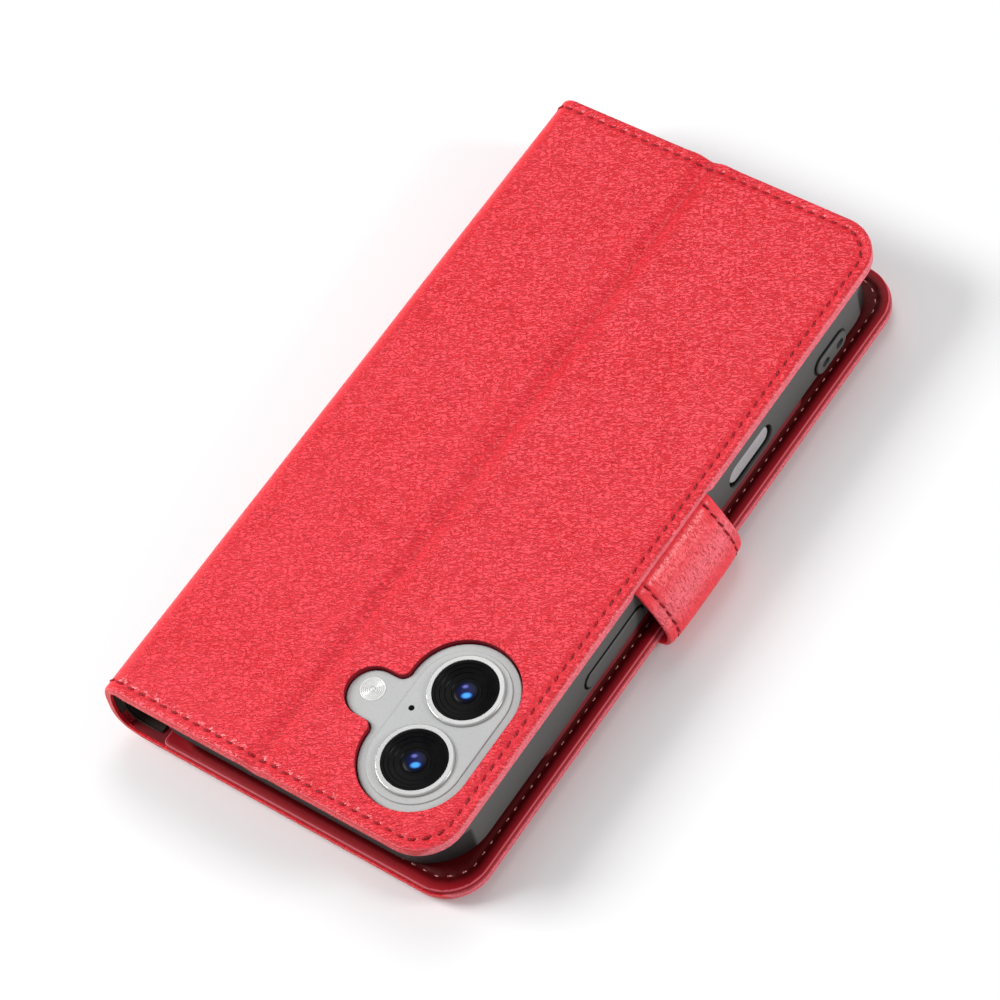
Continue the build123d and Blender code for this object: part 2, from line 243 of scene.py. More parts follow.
def field_tone(f, u, v, height, crack, band):
    """The red of the open leather: darker in the grain's crevices and paler on its ridges, partly its own
    tone and partly painted shade and highlight; paler in random patches, and towards the -Y end with a
    painted sheen; smooth in the band.
    """
    # Painted shade in the grain's crevices and cracks, and a painted highlight on its ridges.
    tone = f.add(
        "ShaderNodeValToRGB",
        {"stops": [(0.16, RED_CREVICE_SHADE), (0.50, RED), (0.74, RED), (0.90, RED_RIDGE_HIGHLIGHT)]},
        {0: height - crack * 0.06},
    )
    patch = f.noise(f.vector(u, v), 0.06, flat=True)
    # Painted sheen: paler towards the -Y end. The noise patches are the leather's own uneven tone.
    near = f.step(v, -75, 75, 1.0, 0.0)
    patches_and_sheen = f.mix(f.step(patch, 0.35, 0.75, 0.08, 0.0) + near * 0.08, tone, RED_PALE)
    return f.mix((1 - band) * 0.9, patches_and_sheen, RED_SMOOTH)


def rim_shares(f, u, edge, length):
    """How far each colour of the turned rim shows: the red wall, the painted highlight along the edge, the
    parting line.
    """
    clasp = f.step(abs(u - length / 2), length / 2 - 2.5, length / 2 - 0.5)
    front = f.step(u, length / 2, length / 2 + 1)
    red_wall = f.step(edge, -0.66, -0.50, 1.0, 0.0) * (1 - clasp)
    # Painted highlights: the pale wall on the clasp side, and the thin pale line along the rolled edge
    # elsewhere.
    pale_wall = f.step(edge, -0.62, -0.40, 1.0, 0.0) * clasp
    pale_line = f.step(edge, -0.58, -0.42) * f.step(edge, -0.34, -0.18, 1.0, 0.0) * (1 - clasp)
    parting = f.step(abs(edge + 1.2), 0.05, 0.17, 1.0, 0.0) * front * clasp
    return red_wall, pale_wall * 0.66 + pale_line * 0.45, parting * 0.8


def red_leather(spine_t, length):
    """Grained red leather, with a smooth band along the spine's corner and its own marks at each seam:
    painted shade in the stitch groove and along the crease, and painted highlights along the rim.
    """
    f = Finish("red_grained_leather")
    u, v = f.uv("sheet")
    groove, edge = f.uv("marks")
    height, crack = grain(f, u, v)
    band = f.step(abs(u - spine_t), 0.9, 2.6, 0.18, 1.0)
    calm = f.step(abs(groove), 0.15, 0.9, 0.45, 1.0)
    red_wall, edge_highlight, parting = rim_shares(f, u, edge, length)
    tone = field_tone(f, u, v, height, crack, band)
    # Painted shade in the stitch groove.
    tone = f.mix(f.step(abs(groove), 0.10, 0.60, 0.5, 0.0), tone, RED_DEEP)
    tone = f.mix(red_wall, tone, RED_WALL)
    # Painted shade along the crease.
    tone = f.mix(f.step(abs(u - CREASE_T), 0.2, 1.1, 0.30, 0.0), tone, RED_DEEP)
    # Painted highlight along the rim.
    tone = f.mix(edge_highlight, tone, RED_HIGHLIGHT)
    tone = f.mix(parting, tone, RED_DEEP)
    f.set(
        Base_Color=tone,
        Roughness=f.step(height, 0.2, 0.9, 0.54, 0.33),
        Specular_IOR_Level=0.46,
        Normal=f.bump((height - crack * 0.10) * band * calm, 1.0, 0.00019),
    )
    return f.material


def strap_leather():
    """The same leather drawn tight over the strap: fine creases across it with painted shade in their dents,
    and a painted sheen where it bends.
    """
    f = Finish("strap_leather")
    u, v = f.uv("sheet")
    groove, _ = f.uv("marks")
    crease = f.noise(f.vector(u * 0.9, v * 2.6), 0.9, distort=0.7, flat=True)
    fine = f.noise(f.vector(u * 1.2, v * 1.8), 1.6, distort=0.4, flat=True)
    # Painted sheen: a band across the strap where it bends is mixed towards pale pink.
    sheen_band = f.step(abs(u - STRAP_SHINE_T), 0.5, 5.5, 1.0, 0.0)
    dent = f.step(abs(crease - 0.5), 0.0, 0.05) * 0.7 + fine * 0.3
    # Painted shade in the strap's dents.
    tone = f.mix(f.step(dent, 0.1, 0.6), RED_CREVICE_SHADE, RED_STRAP)
    shone = f.mix(sheen_band * 0.50 * f.step(dent, 0.2, 0.8), tone, RED_HIGHLIGHT)
    # Painted shade along the strap's stitch groove.
    near_seam = f.step(abs(groove), 0.1, 0.5, 0.5, 0.0)
    f.set(
        Base_Color=f.mix(near_seam, shone, RED_DEEP),
        Roughness=f.step(dent, 0.2, 0.9, 0.48, 0.34),
        Specular_IOR_Level=0.55,
        Normal=f.bump(dent * f.step(sheen_band, 0.0, 1.0, 0.45, 1.0), 0.8, 0.00018),
    )
    return f.material


def panel_leather():
    """Inner leather with painted shade, darkest by the phone, and a painted highlight on its turned edge."""
    f = Finish("inner_panel_leather")
    gap, edge = f.uv("marks")
    fine = f.noise(f.coordinate(), FINE_GRAIN, 3.0, 0.6, 0.4)
    # Painted shade: darkest inside the stitch line, under the phone.
    field = f.mix(f.step(gap, 0.3, 2.4), (0.070, 0.001, 0.002), (0.27, 0.002, 0.008))
    # Painted highlight along the turned edge.
    rim = f.step(edge, -0.75, -0.55) * f.step(edge, -0.32, -0.12, 1.0, 0.0)
    f.set(
        Base_Color=f.mix(rim * 0.40, field, RED_HIGHLIGHT),
        Roughness=f.step(fine, 0.3, 0.7, 0.42, 0.55),
        Specular_IOR_Level=0.16,
        Normal=f.bump(fine, 0.35, 0.00008),
    )
    return f.material


def lining_leather(name, low, high, rough):
    """Smooth inner leather, with a faint fine grain."""
    f = Finish(name)
    place = f.coordinate()
    fine = f.noise(place, FINE_GRAIN, 3.0, 0.6, 0.4)
    broad = f.noise(place, 90, 2.0)
    f.set(
        Base_Color=f.mix(f.step(broad * 0.5 + fine * 0.5, 0.35, 0.68), low, high),
        Roughness=f.step(fine, 0.3, 0.7, rough - 0.06, rough + 0.06),
        Specular_IOR_Level=0.3,
        Normal=f.bump(fine, 0.35, 0.00008),
    )
    return f.material


def thread(name, colour, dark):
    """Twisted sewing thread."""
    f = Finish(name)
    twist = f.add(
        "ShaderNodeTexWave",
        {"bands_direction": "DIAGONAL"},
        {"Vector": f.coordinate(), "Scale": 900, "Distortion": 1.5},
    )
    f.set(
        Base_Color=f.mix(f.step(twist, 0.2, 0.8), dark, colour),
        Roughness=0.6,
        Specular_IOR_Level=0.3,
        Normal=f.bump(twist, 0.5, 0.00006),
    )
    return f.material


# --- Hard finishes --------------------------------------------------------------------------------


def moulded(name, low, high, rough, grain, scale, depth, specular=0.5, metallic=0.0):
    """Moulded or cast surface: two close tones, and a fine texture of its own."""
    f = Finish(name)
    place = f.coordinate()
    fine = f.noise(place, scale, 3.0, 0.6)
    broad = f.noise(place, 60, 2.0)
    f.set(
        Base_Color=f.mix(f.step(broad * 0.6 + fine * 0.4, 0.35, 0.65), low, high),
        Roughness=f.step(fine, 0.3, 0.7, rough - grain, rough + grain),
        Metallic=metallic,
        Specular_IOR_Level=specular,
        Normal=f.bump(fine, 0.4, depth),
    )
    return f.material


def hole_shade_black(name, scale):
    """Black that paints the shade at the bottom of a hole."""
    return moulded(name, (0.002, 0.002, 0.002), (0.004, 0.004, 0.004), 0.7, 0.1, scale, 0.00003, 0.05)


def shell_grey():
    """Matt flexible shell, with painted shade: black in its openings and along the outlines pressed round its
    features.
    """
    f = Finish("shell_matt_grey")
    place = f.coordinate()
    x, y, z = (part * 1000 for part in f.split(place))
    fine = f.noise(place, 3500, 3.0, 0.6)
    wall = span("phone_frame", X)[1]
    behind_face = f.step(x, wall + 0.85, wall + 1.1, 1.0, 0.0)
    between_lips = f.step(abs(z - SIDE_MIDDLE), 3.2, 3.6, 1.0, 0.0)
    on_face = f.step(x, wall + 1.55, wall + 1.75, 1.0, 0.0)

    def outline(middle_y, middle_z, length, height):
        """A thin line of painted shade round a slot-shaped feature."""
        dy = (abs(y - middle_y) - (length - height) / 2).above(0)
        dz = z - middle_z
        gap = (dy * dy + dz * dz).root() - height / 2
        return f.step(abs(gap - 0.16), 0.22, 0.34, 1.0, 0.0) * on_face

    pad_y, pad_z = span("power_pad", Y), span("power_pad", Z)
    pad = outline(sum(pad_y) / 2, sum(pad_z) / 2, pad_y[1] - pad_y[0], pad_z[1] - pad_z[0])
    # Painted shade: black in the side openings and in lines round the power pad and the lanyard lug.
    black = (behind_face * between_lips).above(pad).above(outline(*LUG))
    grey = f.mix(fine, (0.062, 0.062, 0.060), (0.090, 0.090, 0.087))
    f.set(
        Base_Color=f.mix(black, grey, (0.002, 0.002, 0.002)),
        Roughness=f.step(fine, 0.3, 0.7, 0.44, 0.56),
        Specular_IOR_Level=0.45,
        Normal=f.bump(fine, 0.4, 0.00005),
    )
    return f.material


def greyboard():
    """Pressed board that stiffens the covers."""
    f = Finish("pressed_greyboard")
    place = f.coordinate()
    fibre = f.noise(f.add("ShaderNodeMapping", {}, {0: place, "Scale": (1, 0.25, 1)}), 2200, 4.0, 0.7)
    f.set(
        Base_Color=f.mix(fibre, (0.030, 0.020, 0.016), (0.075, 0.052, 0.042)),
        Roughness=0.9,
        Normal=f.bump(fibre, 0.6, 0.0001),
    )
    return f.material


LENS_TURN = (0.81, 0.59)  # cosine and sine of the patches' turn about the lens


def lens_coating_and_reflections(name, centre):
    """Coated glass at the bottom of a lens: deep blue, partly the coating's colour and partly a painted
    reflection, with one bright patch and one pale one that are painted reflections, and a painted glow.
    """
    f = Finish(name)
    x, y, _ = f.split(f.coordinate())
    x, y = x * 1000 - centre[0], y * 1000 - centre[1]
    down = x * LENS_TURN[1] - y * LENS_TURN[0]
    side = x * LENS_TURN[0] + y * LENS_TURN[1]

    def spot(at, size, soft, squash):
        dx, dy = side - at[0], (down - at[1]) * squash
        return 1 - f.step((dx * dx + dy * dy).root(), size * (1 - soft), size)

    # Painted reflections: the bright and violet patches, and partly the blue, fixed on the lens.
    blue = spot((0.0, -0.1), 2.3, 0.7, 0.9)
    bright = spot((0.05, 0.85), 1.25, 0.7, 1.6)
    violet_reflection = spot((-0.10, -1.05), 0.85, 0.9, 1.5)
    colour = f.mix(blue, (0.001, 0.001, 0.002), (0.003, 0.005, 0.05))
    colour = f.mix(violet_reflection * 0.6, colour, (0.20, 0.20, 0.65))
    colour = f.mix(bright, colour, (0.05, 0.30, 0.90))
    # Painted glow from the reflection patches, and faintly from the blue.
    painted_glow = f.mix(bright * 0.45 + violet_reflection * 0.10 + blue * 0.010, (0, 0, 0), (0.06, 0.28, 1.0))
    f.set(
        Base_Color=colour,
        Roughness=f.step(blue, 0.0, 1.0, 0.34, 0.26),
        Specular_IOR_Level=0.10,
        Emission_Color=painted_glow,
        Emission_Strength=0.6,
    )
    return f.material


def flash_glass():
    """Milky flash cover with its ringed lens."""
    f = Finish("flash_diffuser_white")
    place = f.coordinate()
    cloud = f.noise(place, 900, 3.0, 0.6)
    f.set(
        Base_Color=f.mix(cloud, (0.50, 0.50, 0.49), (0.72, 0.72, 0.70)),
        Roughness=f.step(cloud, 0.3, 0.7, 0.10, 0.22),
        Coat_Weight=0.6,
        Normal=f.bump(cloud, 0.15, 0.0002),
    )
    return f.material


def pale_floor():
    f = Finish("studio_floor")
    cloud = f.noise(f.coordinate(), 3, 2.0)
    f.set(Base_Color=f.mix(cloud, (0.78, 0.78, 0.79), (0.84, 0.84, 0.84)), Roughness=0.7)
    return f.material


# --- Making meshes --------------------------------------------------------------------------------


def alone(piece):
    """Leaves one piece selected and active."""
    bpy.ops.object.select_all(action="DESELECT")
    piece.select_set(True)
    bpy.context.view_layer.objects.active = piece


def apply(piece, kind, **settings):
    """Adds a modifier to a piece and applies it."""
    alone(piece)
    modifier = piece.modifiers.new(kind.title(), kind)
    for name, value in settings.items():
        setattr(modifier, name, value)
    bpy.ops.object.modifier_apply(modifier=modifier.name)


def finish_piece(piece, name, material, angle=40):
    piece.name = name
    piece.data.name = name
    piece.data.materials.clear()
    piece.data.materials.append(material)
    alone(piece)
    bpy.ops.object.shade_smooth_by_angle(angle=math.radians(angle))
    return piece


def grid(across, along):
    """A plane with the given numbers of rows, and each vertex's row both ways."""
    bpy.ops.object.select_all(action="DESELECT")
    bpy.ops.mesh.primitive_grid_add(x_subdivisions=across - 1, y_subdivisions=along - 1, size=2)
    piece = bpy.context.object
    place = np.empty(len(piece.data.vertices) * 3, np.float32)
    piece.data.vertices.foreach_get("co", place)
    place = place.reshape(-1, 3)
    i = np.rint((place[:, 0] + 1) / 2 * (across - 1)).astype(int)
    j = np.rint((place[:, 1] + 1) / 2 * (along - 1)).astype(int)
    return piece, i, j


def put(piece, points):
    """Moves a mesh's vertices to points given in millimetres."""
    piece.data.vertices.foreach_set("co", (points * MM).astype(np.float32).ravel())
    piece.data.update()


def write_uv(piece, layer, first, second):
    """Gives a UV map from two values for each vertex."""
    mesh = piece.data
    uv = mesh.uv_layers.get(layer) or mesh.uv_layers.new(name=layer)
    corner = np.empty(len(mesh.loops), np.int32)
    mesh.loops.foreach_get("vertex_index", corner)
    uv.data.foreach_set("uv", np.stack([first[corner], second[corner]], 1).astype(np.float32).ravel())


class Editing:
    """A piece in edit mode with all of it selected."""

    def __init__(self, piece):
        alone(piece)

    def __enter__(self):
        bpy.ops.object.mode_set(mode="EDIT")
        bpy.ops.mesh.select_all(action="SELECT")

    def __exit__(self, *problem):
        bpy.ops.object.mode_set(mode="OBJECT")


def closed_piece(name, points, faces):
    """A closed mesh from points in millimetres, with its normals out."""
    mesh = bpy.data.meshes.new(name)
    mesh.from_pydata([tuple(p) for p in points * MM], [], faces)
    piece = bpy.data.objects.new(name, mesh)
    bpy.context.collection.objects.link(piece)
    with Editing(piece):
        bpy.ops.mesh.normals_make_consistent(inside=False)
    return piece


def swell(distance, width):
    """A smooth rise of height 1, about as wide to each side as the width given."""
    return np.exp(-((distance / width) ** 2))


LINE_STEP = 0.15


def smooth_line(points):
    """A curve through the points, as even short steps."""
    p = np.array(points, float)
    way = np.empty_like(p)
    way[1:-1] = p[2:] - p[:-2]
    way[0], way[-1] = p[1] - p[0], p[-1] - p[-2]
    way /= np.linalg.norm(way, axis=1)[:, None]
    runs = []
    for a, b, from_a, to_b in zip(p[:-1], p[1:], way[:-1], way[1:]):
        length = np.linalg.norm(b - a)
        u = np.linspace(0, 1, max(int(length / LINE_STEP), 2), endpoint=False)[:, None]
        runs.append(
            (2 * u**3 - 3 * u**2 + 1) * a
            + (u**3 - 2 * u**2 + u) * length * from_a
            + (3 * u**2 - 2 * u**3) * b
            + (u**3 - u**2) * length * to_b
        )
    return np.vstack([*runs, p[-1:]])


class Outline:
    """A line in the X-Z plane, read by its length from its start. It knows which side is out."""

    def __init__(self, points, side=1):
        self.points = smooth_line([(x + CENTRE, z) for x, z in points])
        hops = np.linalg.norm(np.diff(self.points, axis=0), axis=1)
        self.at = np.concatenate([[0], np.cumsum(hops)])
        self.length = self.at[-1]
        way = np.gradient(self.points, self.at, axis=0)
        way /= np.linalg.norm(way, axis=1)[:, None]
        self.normal = np.stack([way[:, 1], -way[:, 0]], 1) * side

    def read(self, table, t):
        t = np.clip(t, 0, self.length)
        return np.stack([np.interp(t, self.at, table[:, k]) for k in (0, 1)], -1)

    def place(self, t, out=0.0):
        """X and Z at a length along the line, standing a little way out from it."""
        return self.read(self.points, t) + self.read(self.normal, t) * np.asarray(out)[..., None]

    def find(self, x, z):
        """The length along the line of its nearest place to a point."""
        return self.at[np.argmin(np.hypot(self.points[:, 0] - x, self.points[:, 1] - z))]


# The padded surface: each height in millimetres, then its half width or its distance and half width.
GROOVE = (0.27, 0.50)
PUCKER = (0.075, 0.75, 0.5)
BEAD = (0.12, 1.15, 0.6)
PADDING = (0.14, 2.6)
CREASE_DIP = (0.62, 1.5)
CREASE_SHOULDER = (0.22, 3.6, 1.8)
NO_SEAM = 9.0  # a distance from a seam that none of its marks reach


def turned(roll, wall):
    """How much leather is left past the laid edge to turn down a wall."""
    return roll * math.pi / 2 + wall - 2 * roll


class Sheet:
    """Leather laid along an outline, rolled over a small radius at its edges and turned down."""

    calm_spine = 0.0  # share of the padding that the spine's leather goes without
    board_gap = 0.60  # how far the leather can sink before it meets its board

    def __init__(self, outline, half, corner, roll, wall, extra, seam=None):
        self.line = outline
        self.half = half
        self.corner = corner
        self.roll = roll
        self.wall = wall
        self.seam = seam
        self.extra = extra
        if seam:
            in_end, in_side, r = seam
            quarter = half - (in_side + r) + r * math.pi / 2 + outline.length / 2 - (in_end + r)
            self.stitches = round(quarter / STITCH_PITCH)
            self.pitch = quarter / self.stitches

    def fold(self, t, v):
        """Plan place, drop below the surface and distance from the edge, for flat coordinates."""
        length, roll = self.line.length, self.roll
        # How far into the corner's square a place is, along t and along v, each from 0 to 1 at the rim.
        start = t < length / 2
        end_t = np.where(start, t, length - t)
        r = np.where(start, self.corner[0], self.corner[1])
        reach = r + self.extra
        a = np.clip((r - end_t) / reach, 0, 1)
        b = np.clip((np.abs(v) - self.half + r) / reach, 0, 1)
        # The square becomes a quarter disc, so that rows of faces follow the round corner.
        a, b = a * np.sqrt(1 - b * b / 2), b * np.sqrt(1 - a * a / 2)
        rho = np.hypot(a, b)
        inside = r - rho * reach
        # The last stretch rolls over the edge, then drops straight down the wall.
        wall = self.wall(t, v)
        share = (roll * math.pi / 2 + wall - roll) / (roll + self.extra)
        s = np.maximum(roll - inside, 0) * share
        angle = np.minimum(s / roll, math.pi / 2)
        inset = np.where(inside < roll, roll - roll * np.sin(angle), inside)
        drop = roll * (1 - np.cos(angle)) + np.maximum(0, s - roll * math.pi / 2)
        safe = np.maximum(rho, 1e-9)
        end_t = np.where(a > 1e-9, r - a / safe * (r - inset), end_t)
        v_abs = np.where(b > 1e-9, self.half - r + b / safe * (r - inset), np.abs(v))
        t = np.where(start, end_t, length - end_t)
        edge = np.where(inside < roll, -s, np.minimum(end_t, self.half - v_abs) - roll)
        return t, np.copysign(v_abs, v), drop, edge

    def from_seam(self, t, v):
        """Distance outside the stitch line, and the length along it from the clasp edge's middle."""
        in_end, in_side, r = self.seam
        end_t = np.minimum(t, self.line.length - t)
        corner = self.half - in_side - r
        x = r + in_end - end_t
        y = np.abs(v) - corner
        gap = np.hypot(np.maximum(x, 0), np.maximum(y, 0)) + np.minimum(np.maximum(x, y), 0) - r
        turn = np.arctan2(np.maximum(y, 0), np.maximum(x, 1e-6))
        s = np.where(y < 0, np.abs(v), corner + r * turn)
        s = np.where((x < 0) & (y > x), corner + r * math.pi / 2 - x, s)
        return gap, s

    def relief(self, t, v):
        """Height of the padded surface: the stitch groove, its puckers, and slow waves.

        The phase is 1 between stitches, where the leather stands up, and -1 at each stitch.
        """
        if not self.seam:
            return np.zeros_like(t), np.full_like(t, NO_SEAM)
        gap, s = self.from_seam(t, v)
        phase = np.cos(2 * math.pi * s / self.pitch)
        groove = -GROOVE[0] * swell(gap, GROOVE[1]) * (1 - 0.55 * phase)
        pucker = PUCKER[0] * phase * swell(np.abs(gap) - PUCKER[1], PUCKER[2])
        bead = BEAD[0] * swell(gap - BEAD[1], BEAD[2])
        inner = PADDING[0] * (1 - np.clip((gap + PADDING[1]) / PADDING[1], 0, 1) ** 2)
        wave = 0.035 * np.sin(t * 0.21 + 0.6 * np.sin(v * 0.07)) * np.sin(v * 0.13 + 1.3)
        into = np.minimum(t - SPINE_TOP_T, SPINE_LOW_T - t) if self.calm_spine else t
        round_spine = np.clip(into / 3 + 1, 0, 1)
        return (groove + pucker + bead + inner) * (1 - self.calm_spine * round_spine) + wave, gap

    def lay(self, t, v):
        """Places of flat coordinates, in millimetres, with their marks for the finish."""
        t, v, drop, edge = self.fold(t, v)
        height, gap = self.relief(t, v)
        height = np.where(drop > 0, height * np.clip(1 - drop / self.roll, 0, 1), height)
        height = np.maximum(height + self.dip(t, v), -self.board_gap)
        xz = self.line.place(t, height - drop)
        return np.stack([xz[..., 0], v, xz[..., 1]], -1), gap, edge

    def dip(self, t, v):
        """The sheet's own valleys. A plain sheet has none."""
        return np.zeros_like(t)

    def rows(self, low, high, fine, coarse, stops):
        """Steps between two values, fine near each stop and coarse elsewhere."""
        out = [low]
        while out[-1] < high:
            near = min(abs(out[-1] - s) - w for s, w in stops)
            out.append(out[-1] + (fine if near < 0 else coarse))
        return low + (np.array(out) - low) * (high - low) / (out[-1] - low)


class CoverSheet(Sheet):
    """The case's outer leather, with the crease across the back cover."""

    calm_spine = 0.8

    def dip(self, t, v):
        away = np.abs(t - CREASE_T)
        deep = CREASE_DIP[0] * swell(away, CREASE_DIP[1]) * (1 + 0.08 * np.sin(v * 0.11))
        return CREASE_SHOULDER[0] * swell(away - CREASE_SHOULDER[1], CREASE_SHOULDER[2]) - deep


# --- The case's outline ---------------------------------------------------------------------------

cover_outline = Outline(
    [
        (BACK_EDGE - CENTRE, BACK_TOP),
        (-30.0, BACK_TOP),
        (-34.2, BACK_TOP),
        (-36.7, BACK_TOP - 0.15),
        (-38.5, BACK_TOP - 1.4),
        (-39.6, BACK_TOP - 3.8),
        (SPINE_OUT - CENTRE + 0.12, BACK_TOP - 8.0),
        (SPINE_OUT - CENTRE + 0.05, BACK_TOP - 11.0),
        (-39.95, FRONT_LOW + 3.8),
        (-38.9, FRONT_LOW + 2.0),
        (-37.2, FRONT_LOW + 0.8),
        (-34.8, FRONT_LOW + 0.1),
        (-32.0, FRONT_LOW),
        (-28.0, FRONT_LOW),
        (FRONT_EDGE - CENTRE, FRONT_LOW),
    ]
)
BACK_WALL, STRAP_WALL, SPINE_WALL, FRONT_WALL = 2.3, 1.35, 1.55, 1.65
STRAP_HALF = span("strap_skin", Y)[1]
SPINE_TOP_T = cover_outline.find(CENTRE - 38.0, BACK_TOP - 1.0)
SPINE_LOW_T = cover_outline.find(CENTRE - 38.9, FRONT_LOW + 2.0)


def cover_wall(t, v):
    """How far the leather turns down: less over the strap, round the spine and on the front."""
    places = [SPINE_TOP_T - 4, SPINE_TOP_T, SPINE_LOW_T, SPINE_LOW_T + 4]
    wall = np.interp(t, places, [BACK_WALL, SPINE_WALL, SPINE_WALL, FRONT_WALL])
    over_strap = (t < 3) * np.clip((STRAP_HALF + 1.2 - np.abs(v)) / 0.8, 0, 1)
    return wall + (STRAP_WALL - BACK_WALL) * over_strap


cover = CoverSheet(
    cover_outline,
    HALF,
    (CORNER, CORNER),
    ROLL,
    cover_wall,
    turned(ROLL, TURNED_WALL),
    (STITCH_FROM_EDGE, STITCH_FROM_END, STITCH_CORNER),
)


# --- Camera cut-out -------------------------------------------------------------------------------

PILL = (CENTRE + 22.1, -53.5, 11.2, 7.5)  # middle, radius, and half the straight length along Y
LOBE = (CENTRE + 7.3, -53.8, 5.4)  # middle and radius
NOTCH = 1.6
RAYS = 180
RIM_REACH = 1.2  # how near the outline a loose vertex is drawn on to it


def cutout_distance(x, y):
    """Distance outside the cut-out: a pill and a lobe, with the notch between them filleted."""
    pill = np.hypot(x - PILL[0], np.maximum(np.abs(y - PILL[1]) - PILL[3], 0)) - PILL[2]
    along = np.clip(x, LOBE[0], PILL[0])
    lobe = np.hypot(x - along, y - LOBE[1]) - LOBE[2]
    near = np.minimum(pill, lobe)
    notch = np.hypot(np.maximum(NOTCH - pill, 0), np.maximum(NOTCH - lobe, 0))
    return np.where((pill < NOTCH) & (lobe < NOTCH) & (near > 0), NOTCH - notch, near)


def cutout_ring(grow):
    """The cut-out's outline as points, from rays out of a point that sees all of it."""
    angle = np.linspace(0, 2 * math.pi, RAYS, endpoint=False)
    ray = np.stack([np.cos(angle), np.sin(angle)], 1)
    eye = np.array([PILL[0] - 5.0, LOBE[1]])
    low, high = np.zeros(RAYS), np.full(RAYS, 30.0)
    for _ in range(40):
        far = (low + high) / 2
        p = eye + ray * far[:, None]
        outside = cutout_distance(p[:, 0], p[:, 1]) > grow
        high = np.where(outside, far, high)
        low = np.where(outside, low, far)
    return eye + ray * low[:, None]


def cut_hole(piece):
    """Removes the faces inside the cut-out and draws the rim's vertices on to its outline."""
    mesh = bmesh.new()
    mesh.from_mesh(piece.data)
    inside = []
    for face in mesh.faces:
        middle_point = face.calc_center_median() / MM
        if middle_point.z > BACK_TOP - 2 and cutout_distance(middle_point.x, middle_point.y) < 0:
            inside.append(face)
    bmesh.ops.delete(mesh, geom=inside, context="FACES")
    small = 0.01
    for vertex in mesh.verts:
        x, y = vertex.co.x / MM, vertex.co.y / MM
        if not vertex.is_boundary or abs(cutout_distance(x, y)) > RIM_REACH:
            continue
        for _ in range(5):
            d = cutout_distance(x, y)
            gx = (cutout_distance(x + small, y) - d) / small
            gy = (cutout_distance(x, y + small) - d) / small
            size = max(gx * gx + gy * gy, 0.2)
            x, y = x - d * gx / size, y - d * gy / size
        vertex.co.x, vertex.co.y = x * MM, y * MM
    mesh.to_mesh(piece.data)
    mesh.free()


# --- Sheets of leather ----------------------------------------------------------------------------


def sheet_piece(name, sheet, t_range, thickness, steps, stops, material, hole=False):
    """One leather piece: rows over a stretch of a sheet, laid in place and given its thickness."""
    fine, coarse = steps
    reach = sheet.half + sheet.extra
    t_rows = sheet.rows(*t_range, fine, coarse, stops)
    v_rows = sheet.rows(-reach, reach, fine, coarse, [(-reach, 7.0), (reach, 7.0)])
    piece, i, j = grid(len(t_rows), len(v_rows))
    t, v = t_rows[i], v_rows[j]
    points, gap, edge = sheet.lay(t, v)
    put(piece, points)
    piece.data.uv_layers.remove(piece.data.uv_layers[0])
    write_uv(piece, "sheet", t, v)
    write_uv(piece, "marks", gap, edge)
    middle_face = piece.data.polygons[len(v_rows) // 2 * (len(t_rows) - 1) + len(t_rows) // 2]
    want = sheet.line.read(sheet.line.normal, t_rows[len(t_rows) // 2])
    if middle_face.normal.x * want[0] + middle_face.normal.z * want[1] < 0:
        piece.data.flip_normals()
    if hole:
        cut_hole(piece)
    apply(piece, "SOLIDIFY", thickness=thickness * MM, offset=-1, use_rim=True)
    return finish_piece(piece, name, material, angle=50)


def stitch_template(length, radius):
    """One stitch: a round bar drawn in at its ends, lying along X."""
    bpy.ops.object.select_all(action="DESELECT")
    bpy.ops.mesh.primitive_uv_sphere_add(segments=6, ring_count=6, radius=radius)
    piece = bpy.context.object
    points = np.array([v.co for v in piece.data.vertices])
    faces = [tuple(p.vertices) for p in piece.data.polygons]
    bpy.data.objects.remove(piece)
    stretch = points[:, 2] + np.sign(np.round(points[:, 2], 6)) * (length / 2 - radius)
    return np.stack([stretch, points[:, 0], points[:, 1]], 1), faces


def stitch_piece(name, places, size, material, slant=0.0):
    """Stitches of one length and radius as one mesh, each at its middle, direction and way up."""
    shape, faces = stitch_template(*size)
    points, loops = [], []
    for number, (middle_point, way, up) in enumerate(places):
        way = way / np.linalg.norm(way)
        up = up - way * (up @ way)
        up /= np.linalg.norm(up)
        across = np.cross(up, way)
        way = way * math.cos(slant) + across * math.sin(slant)
        across = np.cross(up, way)
        points.append(middle_point + shape @ np.stack([way, across, up]))
        loops += [tuple(k + number * len(shape) for k in face) for face in faces]
    return finish_piece(closed_piece(name, np.vstack(points), loops), name, material, angle=60)


def seam_places(sheet, t_range, sink):
    """Where a sheet's stitches lie, over one stretch of it."""
    in_end, in_side, r = sheet.seam
    straight = sheet.half - in_side - r
    length = sheet.line.length

    def flat(s):
        """Distance from the sheet's end, and |v|, at a length along a quarter of the seam."""
        if s < straight:
            return in_end, s
        if s < straight + r * math.pi / 2:
            turn = (s - straight) / r
            return in_end + r - r * math.cos(turn), straight + r * math.sin(turn)
        return in_end + r + s - straight - r * math.pi / 2, straight + r

    places = []
    for mirror_t in (False, True):
        for side in (1, -1):
            for n in range(sheet.stitches):
                ends = [flat((n + 0.5) * sheet.pitch + k) for k in (-STITCH_REACH, STITCH_REACH)]
                t = np.array([length - e[0] if mirror_t else e[0] for e in ends])
                v = np.array([side * e[1] for e in ends])
                if not t_range[0] <= t.mean() < t_range[1]:
                    continue
                a, b = sheet.lay(t, v)[0]
                out = sheet.line.read(sheet.line.normal, t.mean())
                up = np.array([out[0], 0, out[1]])
                places.append(((a + b) / 2 + up * sink, b - a, up))
    return places


# --- The leather cover ----------------------------------------------------------------------------

